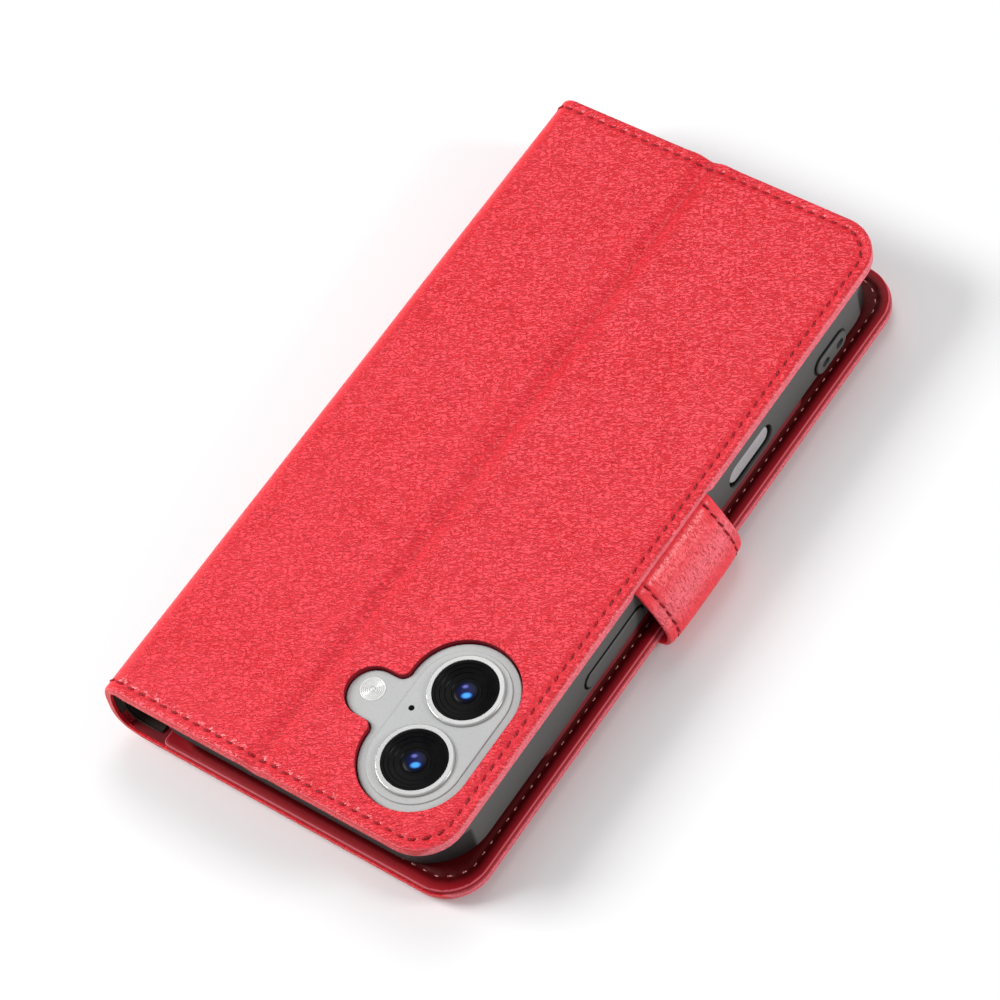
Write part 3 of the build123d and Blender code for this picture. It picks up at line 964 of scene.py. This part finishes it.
exterior = red_leather(SPINE_TOP_T, cover_outline.length)
stitch_red = thread("red_thread", THREAD, THREAD_DARK)
BACK_END_T = cover_outline.find(CENTRE - 35.8, BACK_TOP - 0.1)
SPINE_MID_T = cover_outline.find(SPINE_OUT, (BACK_TOP + FRONT_LOW) / 2)
FULL_T = cover_outline.length
FINE_PLACES = [
    (-cover.extra, 6.5),
    (CREASE_T, 5.0),
    (SPINE_TOP_T, 5.0),
    (SPINE_LOW_T, 4.0),
    (FULL_T + cover.extra, 6.5),
]
STRETCHES = {
    "back_cover": (-cover.extra, BACK_END_T),
    "spine": (BACK_END_T, SPINE_MID_T),
    "front_cover": (SPINE_MID_T, FULL_T + cover.extra),
}
BENDS = {
    "back_cover": ("phone_side", "back_flap", (CREASE + 1.3, 0, BACK_TOP), (CREASE - 1.3, 0, BACK_TOP)),
    "spine": (
        "back_flap",
        "spine",
        (CENTRE - 37.0, 0, BACK_TOP - 0.6),
        (CENTRE - 39.7, 0, BACK_TOP - 4.6),
    ),
    "front_cover": (
        "spine",
        "front_cover",
        (CENTRE - 39.9, 0, FRONT_LOW + 4.4),
        (CENTRE - 36.4, 0, FRONT_LOW + 0.6),
    ),
}
STANDS_FOR = {
    "back_cover": ("back_skin_main", "back_skin_flap", "crease_bend"),
    "spine": ("spine_top_bend", "spine_skin"),
    "front_cover": ("front_skin", "spine_low_bend"),
}
BOARD_UNDER = {"back_cover": "back_board_main", "spine": "spine_board", "front_cover": "front_board"}
COVER_STITCH = (1.8, 0.29)  # length, radius


def metres(point):
    return tuple(c * MM for c in point)


def declare_sheet(piece, sheet, t_range, held, rests_on, *stitches):
    """Works out a sheet's flat size, and does nothing with it; the piece, how it is held, what it lies on and
    the stitches are not used.
    """
    flat = metres((t_range[1] - t_range[0], 2 * (sheet.half + sheet.extra)))


def bend(piece, part):
    """Bakes a piece's transform into its mesh; the fold listed for its part of the cover is read but not
    used.
    """
    first, second, start, end = BENDS[part]
    metres(start)
    metres(end)
    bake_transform(piece)


def leather_cover():
    """The outer leather in three pieces that meet edge to edge, and the stitches on each."""
    for part, t_range in STRETCHES.items():
        piece = sheet_piece(
            f"{part}_leather",
            cover,
            t_range,
            LEATHER,
            (0.42, 0.66),
            FINE_PLACES,
            exterior,
            hole=part == "back_cover",
        )
        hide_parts(*STANDS_FOR[part])
        bend(piece, part)
        places = seam_places(cover, t_range, 0.03)
        stitches = stitch_piece(f"{part}_stitches", places, COVER_STITCH, stitch_red, math.radians(10))
        bend(stitches, part)
        declare_sheet(piece, cover, t_range, "stretched", BOARD_UNDER[part], stitches)


def cutout_edge():
    """The dark cut edge of leather and board all round the cameras."""
    top, shoulder = BACK_TOP - 0.06, BACK_TOP - 0.14
    low = span("back_lining_main", Z)[0] + 0.05
    rings = [(0.5, top), (0.10, top), (-0.06, shoulder), (-0.06, low), (0.5, low)]
    points = np.vstack([np.column_stack([cutout_ring(grow), np.full(RAYS, z)]) for grow, z in rings])
    faces = []
    for k in range(len(rings)):
        other = (k + 1) % len(rings) * RAYS
        for i in range(RAYS):
            after = (i + 1) % RAYS
            faces.append((k * RAYS + i, k * RAYS + after, other + after, other + i))
    piece = closed_piece("camera_cutout_edge", points, faces)
    cut_leather = lining_leather("cut_leather_edge", (0.16, 0.004, 0.01), (0.30, 0.008, 0.02), 0.7)
    finish_piece(piece, "camera_cutout_edge", cut_leather)
    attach(piece, "phone_side")


# --- Linings, pocket and card slots ---------------------------------------------------------------


def plain_wall(height):
    return lambda t, v: np.full_like(t, height)


# The inner red is partly the leather's own darker red and partly painted shade for the inside of the closed
# case.
inner_red = lining_leather("inner_red_leather", (0.13, 0.002, 0.006), (0.21, 0.004, 0.010), 0.5)
hinge_dark = lining_leather("hinge_lining_dark", LINING_LOW, LINING_HIGH, 0.75)


def hinge_lining():
    """The dark lining inside the spine, in two pieces laid along the leather outside it."""
    inner = Outline(
        [
            (-32.0, BACK_TOP - 1.9),
            (-36.0, BACK_TOP - 2.1),
            (-37.6, BACK_TOP - 3.4),
            (-38.3, BACK_TOP - 5.4),
            (-38.7, BACK_TOP - 8.2),
            (-38.7, BACK_TOP - 11.0),
            (-38.3, FRONT_LOW + 4.1),
            (-37.3, FRONT_LOW + 2.7),
            (-35.6, FRONT_LOW + 2.2),
            (-30.5, FRONT_LOW + 2.15),
        ]
    )
    extra = 0.2
    sheet = Sheet(inner, HALF - 1.9, (0.6, 0.6), 0.15, plain_wall(0.25), extra)
    cut = inner.find(CENTRE - 38.7, (BACK_TOP + FRONT_LOW) / 2)
    parts = (
        ("hinge_lining_upper", "spine", (-extra, cut)),
        ("hinge_lining_lower", "front_cover", (cut, inner.length + extra)),
    )
    for name, part, t_range in parts:
        piece = sheet_piece(
            name, sheet, t_range, 0.3, (0.5, 1.6), [(-9, 0)], hinge_dark
        )
        if part == "spine":
            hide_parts("spine_lining")
        bend(piece, part)
        declare_sheet(piece, sheet, t_range, "laid", BOARD_UNDER[part])


# How each kind of panel is cut and sewn. A seam is its distance from the panel's ends and from its
# sides, and its corner radius. A stitch is its length and radius. Steps are the finest and coarsest
# spacing of rows.
POCKET = {
    "corner": CORNER,
    "roll": 0.45,
    "wall": 1.15,
    "thickness": 0.4,
    "seam": (2.6, 3.0, 6.0),
    "stitch": (0.95, 0.17),
    "steps": (0.5, 1.1),
}
CARD_SLOT = {
    "corner": 3.0,
    "roll": 0.12,
    "wall": 0.38,
    "thickness": 0.2,
    "seam": (1.6, 1.6, 1.8),
    "stitch": (1.3, 0.11),
    "steps": (0.6, 2.2),
}
MOUTH_CORNER = 1.2
MOUTH_CLEAR = 3.5  # how far from a panel's mouth its stitches stop


def panel(name, node, half, material, sewn_with, rests_on, corner, roll, wall, thickness, seam,
          stitch, steps):
    """A flat leather panel with turned edges, sewn inside the front cover; its top faces up.

    Its stitches run round three sides, and leave its mouth open.
    """
    x_low, x_high = span(node, X)
    top = span(node, Z)[1]
    line = Outline([(x_high - CENTRE, top), ((x_high + x_low) / 2 - CENTRE, top), (x_low - CENTRE, top)])
    extra = turned(roll, wall)
    sheet = Sheet(line, half, (corner, MOUTH_CORNER), roll, plain_wall(wall), extra, seam)
    t_range = (-extra, line.length + extra)
    fine_places = [(-1, 6.0), (line.length, 2.5)]
    piece = sheet_piece(name, sheet, t_range, thickness, steps, fine_places, material)
    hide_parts(node)
    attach(piece, "front_cover")
    places = [p for p in seam_places(sheet, (0, line.length), 0.0) if p[0][0] > x_low + MOUTH_CLEAR]
    stitches = stitch_piece(name.replace("leather", "stitches"), places, stitch, sewn_with)
    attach(stitches, "front_cover")
    declare_sheet(piece, sheet, t_range, "laid", rests_on, stitches)


def front_pockets():
    """The cash pocket's panel, whose stitches show past the phone, and the card slots on it."""
    # The pale pink of this thread is partly its own colour and partly a painted highlight for the glints on
    # the stitches.
    pale_thread = thread("pale_pink_thread", (0.75, 0.32, 0.30), (0.40, 0.10, 0.10))
    under = "pocket_panel_leather"
    panel(under, "cash_pocket", HALF - 0.2, panel_leather(), pale_thread, "front_lining", **POCKET)
    for n in (1, 2, 3):
        name, node = f"card_slot_leather_{n}", f"card_slot_{n}"
        panel(name, node, span(node, Y)[1], inner_red, stitch_red, under, **CARD_SLOT)
        under = name


# --- Strap ----------------------------------------------------------------------------------------

TAB_LOW = span("tab_skin", X)[0]
STRAP_OUT = span("strap_skin", X)[1] - CENTRE
strap_outline = Outline(
    [
        (BACK_EDGE - CENTRE - 12.0, 17.7),
        (33.0, 17.75),
        (36.6, 17.7),
        (38.3, 17.0),
        (39.5, 15.4),
        (40.8, 13.4),
        (42.0, 11.2),
        (43.0, 9.0),
        (STRAP_OUT - 0.25, 6.7),
        (STRAP_OUT - 0.15, 4.8),
        (STRAP_OUT - 0.6, 3.0),
        (42.4, 1.7),
        (41.0, 0.95),
        (38.8, 0.75),
        (TAB_LOW - CENTRE, 0.75),
    ],
    side=-1,
)
STRAP_SHINE_T = strap_outline.find(CENTRE + 42.2, 10.8)
STRAP_BEND_T = strap_outline.find(CENTRE + 42.4, 1.7)
# The strap's thickness at places along it.
STRAP_THICK = ((0, 1.25), (9, 1.3), (15, 1.8), (28, 1.8), (33, 1.25))
STRAP_STITCH = (1.6, 0.24)
STRAP_PITCH = 2.45
ROOT_BARE = 5  # how much of the hidden root has no stitches
TAB_CORNER = 6.0
STRAP_SEAM = 2.3
AROUND = 132  # rows round the strap's section
SQUARE_SIDES, SQUARE_FACES = 0.24, 0.62  # powers that square off its round section; 1 leaves it round
STRAP_PADDING = (0.34, 2.6)  # height, and how far from the stitches it is reached
STRAP_GROOVE = (0.17, 0.38)
STRAP_WRINKLE = 0.05


def strap_section(t, u):
    """A place on the strap's surface: u goes round its section, from 0 to 1."""
    length = strap_outline.length
    to_end = np.maximum(length - t, 0)
    turn = np.clip(1 - to_end / TAB_CORNER, 0, 1)
    half = STRAP_HALF - TAB_CORNER * (1 - np.sqrt(1 - turn**2))
    end_round = np.sqrt(1 - np.clip(1 - to_end / 0.9, 0, 1) ** 2 * 0.98)
    thick = np.interp(t, *zip(*STRAP_THICK)) * end_round
    angle = 2 * math.pi * u
    c, s = np.cos(angle), np.sin(angle)
    across = half * np.copysign(np.abs(c) ** SQUARE_SIDES, c)
    rise = np.copysign(np.abs(s) ** SQUARE_FACES, s)
    row = half - STRAP_SEAM - np.abs(across)
    pad = np.where(s > 0, STRAP_PADDING[0] * np.clip(row / STRAP_PADDING[1], -0.3, 1), 0)
    groove = np.where(s > 0, -STRAP_GROOVE[0] * swell(row, STRAP_GROOVE[1]), 0)
    wave = np.sin(across * 3.1 + 1.8 * np.sin(t * 0.55) + np.sin(across * 1.3)) * np.sin(t * 0.35 - 2.2)
    wrinkle = np.where((s > 0) & (row > 0.3), STRAP_WRINKLE * wave, 0)
    # The padding comes in past the root and goes before the bend; the groove starts at the cover's edge.
    over = np.clip((t - 13) / 3, 0, 1) * np.clip((30 - t) / 4, 0, 1)
    sewn = np.clip((t - 4) / 3, 0, 1)
    out = rise * thick / 2 - thick / 2 + (pad + wrinkle) * over * 0.9 + groove * sewn
    xz = strap_outline.place(t, out)
    return np.stack([xz[..., 0], across, xz[..., 1]], -1), row


def strap_piece(name, t_range, material):
    """A stretch of the strap as a closed, padded band."""
    steps = np.arange(t_range[0], t_range[1] + 0.01, 0.36)
    steps = np.append(steps[steps < t_range[1] - 0.2], t_range[1])
    piece, i, j = grid(len(steps), AROUND + 1)
    # Rows are spread within each quarter, so that the flat faces get as many as the edges.
    quarter, part = np.floor(j / AROUND * 4), j / AROUND % 0.25
    spread = ([0, 0.07, 0.25], [0, 0.10, 0.25])
    from_flat, to_flat = np.interp(part, *spread), 0.25 - np.interp(0.25 - part, *spread)
    u = quarter / 4 + np.where(quarter % 2 == 0, from_flat, to_flat)
    t = steps[i]
    points, row = strap_section(t, u)
    put(piece, points)
    piece.data.uv_layers.remove(piece.data.uv_layers[0])
    write_uv(piece, "sheet", t, points[:, 1])
    write_uv(piece, "marks", row, np.full_like(row, NO_SEAM))
    with Editing(piece):
        bpy.ops.mesh.remove_doubles(threshold=0.00001)
        bpy.ops.mesh.select_all(action="DESELECT")
        bpy.ops.mesh.select_non_manifold()
        bpy.ops.mesh.edge_face_add()
        bpy.ops.mesh.select_all(action="SELECT")
        bpy.ops.mesh.normals_make_consistent(inside=False)
    return finish_piece(piece, name, material, angle=55)


def strap_stitch_places(t_range):
    """Two rows of stitches, joined round the tab's end."""
    r = TAB_CORNER - STRAP_SEAM
    straight = strap_outline.length - TAB_CORNER
    row = STRAP_HALF - STRAP_SEAM
    total = 2 * straight + math.pi * r + 2 * (row - r)
    count = round(total / STRAP_PITCH)

    def flat(s):
        """Place along and across the strap, at a length along the seam."""
        sign = -1 if s > total / 2 else 1
        s = min(s, total - s)
        if s < straight:
            return s, sign * row
        if s < straight + math.pi / 2 * r:
            turn = (s - straight) / r
            return straight + r * math.sin(turn), sign * (row - r + r * math.cos(turn))
        return straight + r, sign * (row - r - (s - straight - math.pi / 2 * r))

    places = []
    for n in range(count):
        s = (n + 0.5) * total / count
        ends = np.array([flat(s - STITCH_REACH), flat(s + STITCH_REACH)])
        t = ends[:, 0]
        if not max(t_range[0], ROOT_BARE) <= t.mean() < t_range[1]:
            continue
        sink = 0.07 + 0.22 * swell(t.mean() - STRAP_BEND_T, 3.5)
        xz = strap_outline.place(t, -sink)
        a, b = (np.array([xz[k, 0], ends[k, 1], xz[k, 1]]) for k in (0, 1))
        out = strap_outline.read(strap_outline.normal, t.mean())
        places.append(((a + b) / 2, b - a, np.array([out[0], 0, out[1]])))
    return places


def strap():
    """The strap down the clasp side, and the bend and magnetic tab under the case."""
    leather = strap_leather()
    bend_t = strap_outline.find(CENTRE + STRAP_OUT - 0.15, 4.8)
    hinge = ((BACK_EDGE - 0.4, 0, 17.9), (CENTRE + 39.6, 0, 14.8))
    low = ((CENTRE + STRAP_OUT, 0, 4.4), (CENTRE + 41.0, 0, 1.0))
    upper_nodes = ("strap_root", "strap_root_bend", "strap_skin", "strap_lining")
    tab_nodes = ("strap_bend", "tab_skin", "tab_lining")
    parts = (
        ("upper", (0, bend_t), ("phone_side", "strap"), hinge, upper_nodes),
        ("tab", (bend_t, strap_outline.length), ("strap", "strap_tab"), low, tab_nodes),
    )
    for part, t_range, bodies, (start, end), nodes in parts:
        piece = strap_piece(f"strap_leather_{part}", t_range, leather)
        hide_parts(*nodes)
        metres(start)
        metres(end)
        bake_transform(piece)
        places = strap_stitch_places(t_range)
        stitches = stitch_piece(
            f"strap_stitches_{part}", places, STRAP_STITCH, stitch_red, math.radians(9)
        )
        metres(start)
        metres(end)
        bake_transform(stitches)


# --- Lenses and flash -----------------------------------------------------------------------------


def lathe(name, profile, centre, material, steps=64, angle=25):
    """Spins a profile of (radius, height) round an upright axis and closes it at the axis."""
    x, y = metres(centre)
    mesh = bpy.data.meshes.new(name)
    points = [(x + r * MM, y, z * MM) for r, z in profile]
    mesh.from_pydata(points, [(k, k + 1) for k in range(len(points) - 1)], [])
    piece = bpy.data.objects.new(name, mesh)
    bpy.context.collection.objects.link(piece)
    with Editing(piece):
        bpy.ops.mesh.spin(steps=steps, angle=2 * math.pi, center=(x, y, 0), axis=(0, 0, 1))
        bpy.ops.mesh.select_all(action="SELECT")
        bpy.ops.mesh.remove_doubles(threshold=0.000002)
        bpy.ops.mesh.normals_make_consistent(inside=False)
    return finish_piece(piece, name, material, angle)


DOME_R = 2.35
# The barrel's steps: how far in from the glass's edge, and how far below its top.
BARREL_STEPS = (
    (0.0, 0.08),
    (0.08, 0.0),
    (0.55, 0.02),
    (0.7, 0.14),
    (1.35, 0.20),
    (1.5, 0.34),
    (2.3, 0.42),
    (2.45, 0.55),
    (3.5, 0.62),
    (3.6, 0.72),
)


def lens_barrel(name, node, centre, material):
    """The black barrel inside a lens ring, stepped down to its middle."""
    radius = span(node, X)[1] - centre[0]
    low, top = span(node, Z)
    floor = low + 0.02
    profile = [(0.0, floor), (radius, floor)]
    profile += [(radius - inward, top - down) for inward, down in BARREL_STEPS]
    profile.append((0.0, top - BARREL_STEPS[-1][1]))
    piece = lathe(name, profile, centre, material)
    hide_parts(node)
    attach(piece, "phone_side")


def lens_dome(name, node, centre, material):
    """The domed glass at the bottom of the barrel."""
    top = span(node, Z)[1]
    profile = [(0.0, top - 0.75), (DOME_R, top - 0.75)]
    for k in range(8):
        turn = k * math.pi / 16
        profile.append((DOME_R * math.cos(turn), top - 0.70 + 0.34 * math.sin(turn)))
    profile.append((0.0, top - 0.36))
    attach(lathe(name, profile, centre, material), "phone_side")


def lenses():
    black = moulded(
        "lens_barrel_black", (0.0010, 0.0010, 0.0013), (0.0025, 0.0025, 0.003), 0.30, 0.05, 500, 0.00001, 0.06
    )
    for end in ("upper", "lower"):
        node = f"lens_glass_{end}"
        centre = (middle(node, X), middle(node, Y))
        lens_barrel(f"lens_barrel_{end}", node, centre, black)
        lens_dome(f"lens_dome_{end}", node, centre, lens_coating_and_reflections(f"lens_coating_and_reflections_{end}", centre))


def flash():
    """The flash: a milky lens with fine rings pressed in it and a small dome in its middle."""
    centre = (middle("flash_lens", X), middle("flash_lens", Y))
    radius = span("flash_lens", X)[1] - centre[0]
    low, top = span("flash_lens", Z)
    profile = [(0.0, low), (radius, low), (radius, top - 0.05), (radius - 0.08, top)]
    ring = radius - 0.3
    while ring > 0.7:
        profile += [(ring, top - 0.02), (ring - 0.12, top - 0.13), (ring - 0.26, top - 0.01)]
        ring -= 0.36
    profile += [(0.55, top - 0.12), (0.42, top - 0.02), (0.2, top + 0.03), (0.0, top + 0.04)]
    piece = lathe("flash_diffuser", profile, centre, flash_glass(), angle=60)
    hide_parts("flash_lens")
    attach(piece, "phone_side")


def microphone():
    """The gauze disc over the microphone, beside the lenses, black as painted shade in the hole."""
    x = middle("lens_glass_upper", X) - 6.9
    y = (middle("lens_glass_upper", Y) + middle("lens_glass_lower", Y)) / 2 + 0.45
    top = span("camera_plateau", Z)[1]
    gauze = hole_shade_black("microphone_gauze", 6000)
    disc = [(0.0, top - 0.05), (0.58, top - 0.05), (0.58, top + 0.01), (0.52, top + 0.03), (0.0, top + 0.03)]
    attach(lathe("microphone_gauze", disc, (x, y), gauze, steps=24), "phone_side")


def lanyard_tunnel():
    """The floor of the tunnel behind the lanyard lug's two holes, black as painted shade."""
    bpy.ops.object.select_all(action="DESELECT")
    bpy.ops.mesh.primitive_cube_add(size=1)
    piece = bpy.context.object
    corner = np.array([v.co for v in piece.data.vertices])
    place = (span("phone_frame", X)[1] + 0.28, LUG[0], LUG[1])
    put(piece, corner * (0.2, LUG[2] - 0.8, LUG[3] - 2.4) + place)
    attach(finish_piece(piece, "lanyard_tunnel_floor", hole_shade_black("hole_shade_black", 3000)), "phone_side")


# --- CAD nodes that stay --------------------------------------------------------------------------


def dress(material, *names):
    """Gives carried-over CAD nodes their finish."""
    for name in names:
        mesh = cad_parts[name].data
        mesh.materials.clear()
        mesh.materials.append(material)


def carried_over():
    """The finishes of the CAD nodes that stay."""
    dress(shell_grey(), "phone_shell", "power_pad", "action_pad", "volume_up_pad", "volume_down_pad")
    key = moulded(
        "phone_key_grey", (0.42, 0.42, 0.43), (0.52, 0.52, 0.53), 0.38, 0.04, 2500, 0.00002, 0.5, 0.35
    )
    dress(key, "power_key", "action_key", "volume_up_key", "volume_down_key", "camera_control")
    metal = moulded(
        "phone_frame_anodised", (0.30, 0.30, 0.31), (0.38, 0.38, 0.39), 0.40, 0.05, 2500, 0.00002, 0.5, 0.8
    )
    dress(metal, "phone_frame")
    glass = moulded("phone_back_satin", (0.55, 0.55, 0.54), (0.62, 0.62, 0.61), 0.30, 0.03, 1800, 0.00001)
    dress(glass, "phone_back_glass")
    island = moulded(
        "camera_island_satin", (0.375, 0.378, 0.375), (0.41, 0.413, 0.41), 0.30, 0.03, 1800, 0.00001
    )
    dress(island, "camera_island", "camera_plateau")
    screen = moulded(
        "phone_screen_black", (0.002, 0.002, 0.003), (0.004, 0.004, 0.005), 0.07, 0.02, 400, 0.000004, 0.6
    )
    dress(screen, "phone_screen_glass")
    ring = moulded(
        "lens_ring_silver", (0.42, 0.42, 0.415), (0.46, 0.46, 0.455), 0.24, 0.02, 1500, 0.000004, 0.5, 0.35
    )
    dress(ring, "lens_ring_upper", "lens_ring_lower")
    dress(greyboard(), "back_board_main", "back_board_flap", "spine_board", "front_board")
    lining = lining_leather("cover_lining_dark", LINING_LOW, LINING_HIGH, 0.75)
    dress(lining, "back_lining_main", "back_lining_flap")
    dress(inner_red, "front_lining")
    core = moulded("phone_inner_black", (0.012, 0.012, 0.013), (0.02, 0.02, 0.02), 0.6, 0.05, 800, 0.00003)
    dress(core, "phone_core")
    steel = moulded(
        "magnet_steel_plated", (0.45, 0.45, 0.46), (0.55, 0.55, 0.55), 0.32, 0.06, 1500, 0.00002, 0.5, 0.9
    )
    dress(steel, "clasp_plate", "tab_magnet")


# --- Studio ---------------------------------------------------------------------------------------


def studio_floor():
    bpy.ops.object.select_all(action="DESELECT")
    bpy.ops.mesh.primitive_plane_add(size=6)
    floor = bpy.context.object
    floor.name = "studio_floor"
    floor.data.materials.append(pale_floor())


def soft_light(name, place, aim, size, power):
    """A square soft box, aimed at a point."""
    light = bpy.data.lights.new(name, "AREA")
    light.shape = "SQUARE"
    light.size = size
    light.energy = power
    lamp = bpy.data.objects.new(name, light)
    bpy.context.scene.collection.objects.link(lamp)
    lamp.location = place
    lamp.rotation_mode = "QUATERNION"
    lamp.rotation_quaternion = (Vector(aim) - Vector(place)).to_track_quat("-Z", "Y")


def studio_lights():
    aim = (0, 0, 0.015)
    soft_light("key_light", (-0.55, -0.30, 0.55), aim, 0.35, 6.2)
    soft_light("top_light", (-0.26, 0.46, 0.78), aim, 0.50, 2.2)
    soft_light("side_light", (0.72, 0.26, 0.38), aim, 0.30, 3.6)
    world = bpy.data.worlds.new("studio_world")
    bpy.context.scene.world = world
    world.use_nodes = True
    background = world.node_tree.nodes["Background"]
    background.inputs["Color"].default_value = (0.93, 0.94, 0.95, 1)
    background.inputs["Strength"].default_value = 0.40
    bpy.context.scene.view_settings.view_transform = "Standard"


AZIMUTH, ELEVATION, ROLL_ANGLE = 49.67, 55.76, -18.07
CAMERA_DISTANCE = 688.6
CAMERA_TARGET = (2.935, -8.41, 19.39)
LENS_LENGTH = 132.5


def studio_camera():
    data = bpy.data.cameras.new("studio_camera")
    data.lens = LENS_LENGTH
    data.sensor_width = 36
    data.clip_start, data.clip_end = 0.01, 20
    camera = bpy.data.objects.new("studio_camera", data)
    bpy.context.scene.collection.objects.link(camera)
    a, e, r = (math.radians(x) for x in (AZIMUTH, ELEVATION, ROLL_ANGLE))
    back = Vector((math.sin(a) * math.cos(e), -math.cos(a) * math.cos(e), math.sin(e)))
    right = (-back).cross(Vector((0, 0, 1))).normalized()
    up = right.cross(-back)
    rolled = math.cos(r) * right + math.sin(r) * up
    upright = -math.sin(r) * right + math.cos(r) * up
    turn = Matrix((rolled, upright, back)).transposed()
    place = Vector(metres(CAMERA_TARGET)) + back * CAMERA_DISTANCE * MM
    camera.matrix_world = Matrix.Translation(place) @ turn.to_4x4()
    bpy.context.scene.camera = camera


studio_camera()
studio_floor()
studio_lights()
carried_over()
leather_cover()
cutout_edge()
hinge_lining()
front_pockets()
strap()
lenses()
flash()
microphone()
lanyard_tunnel()
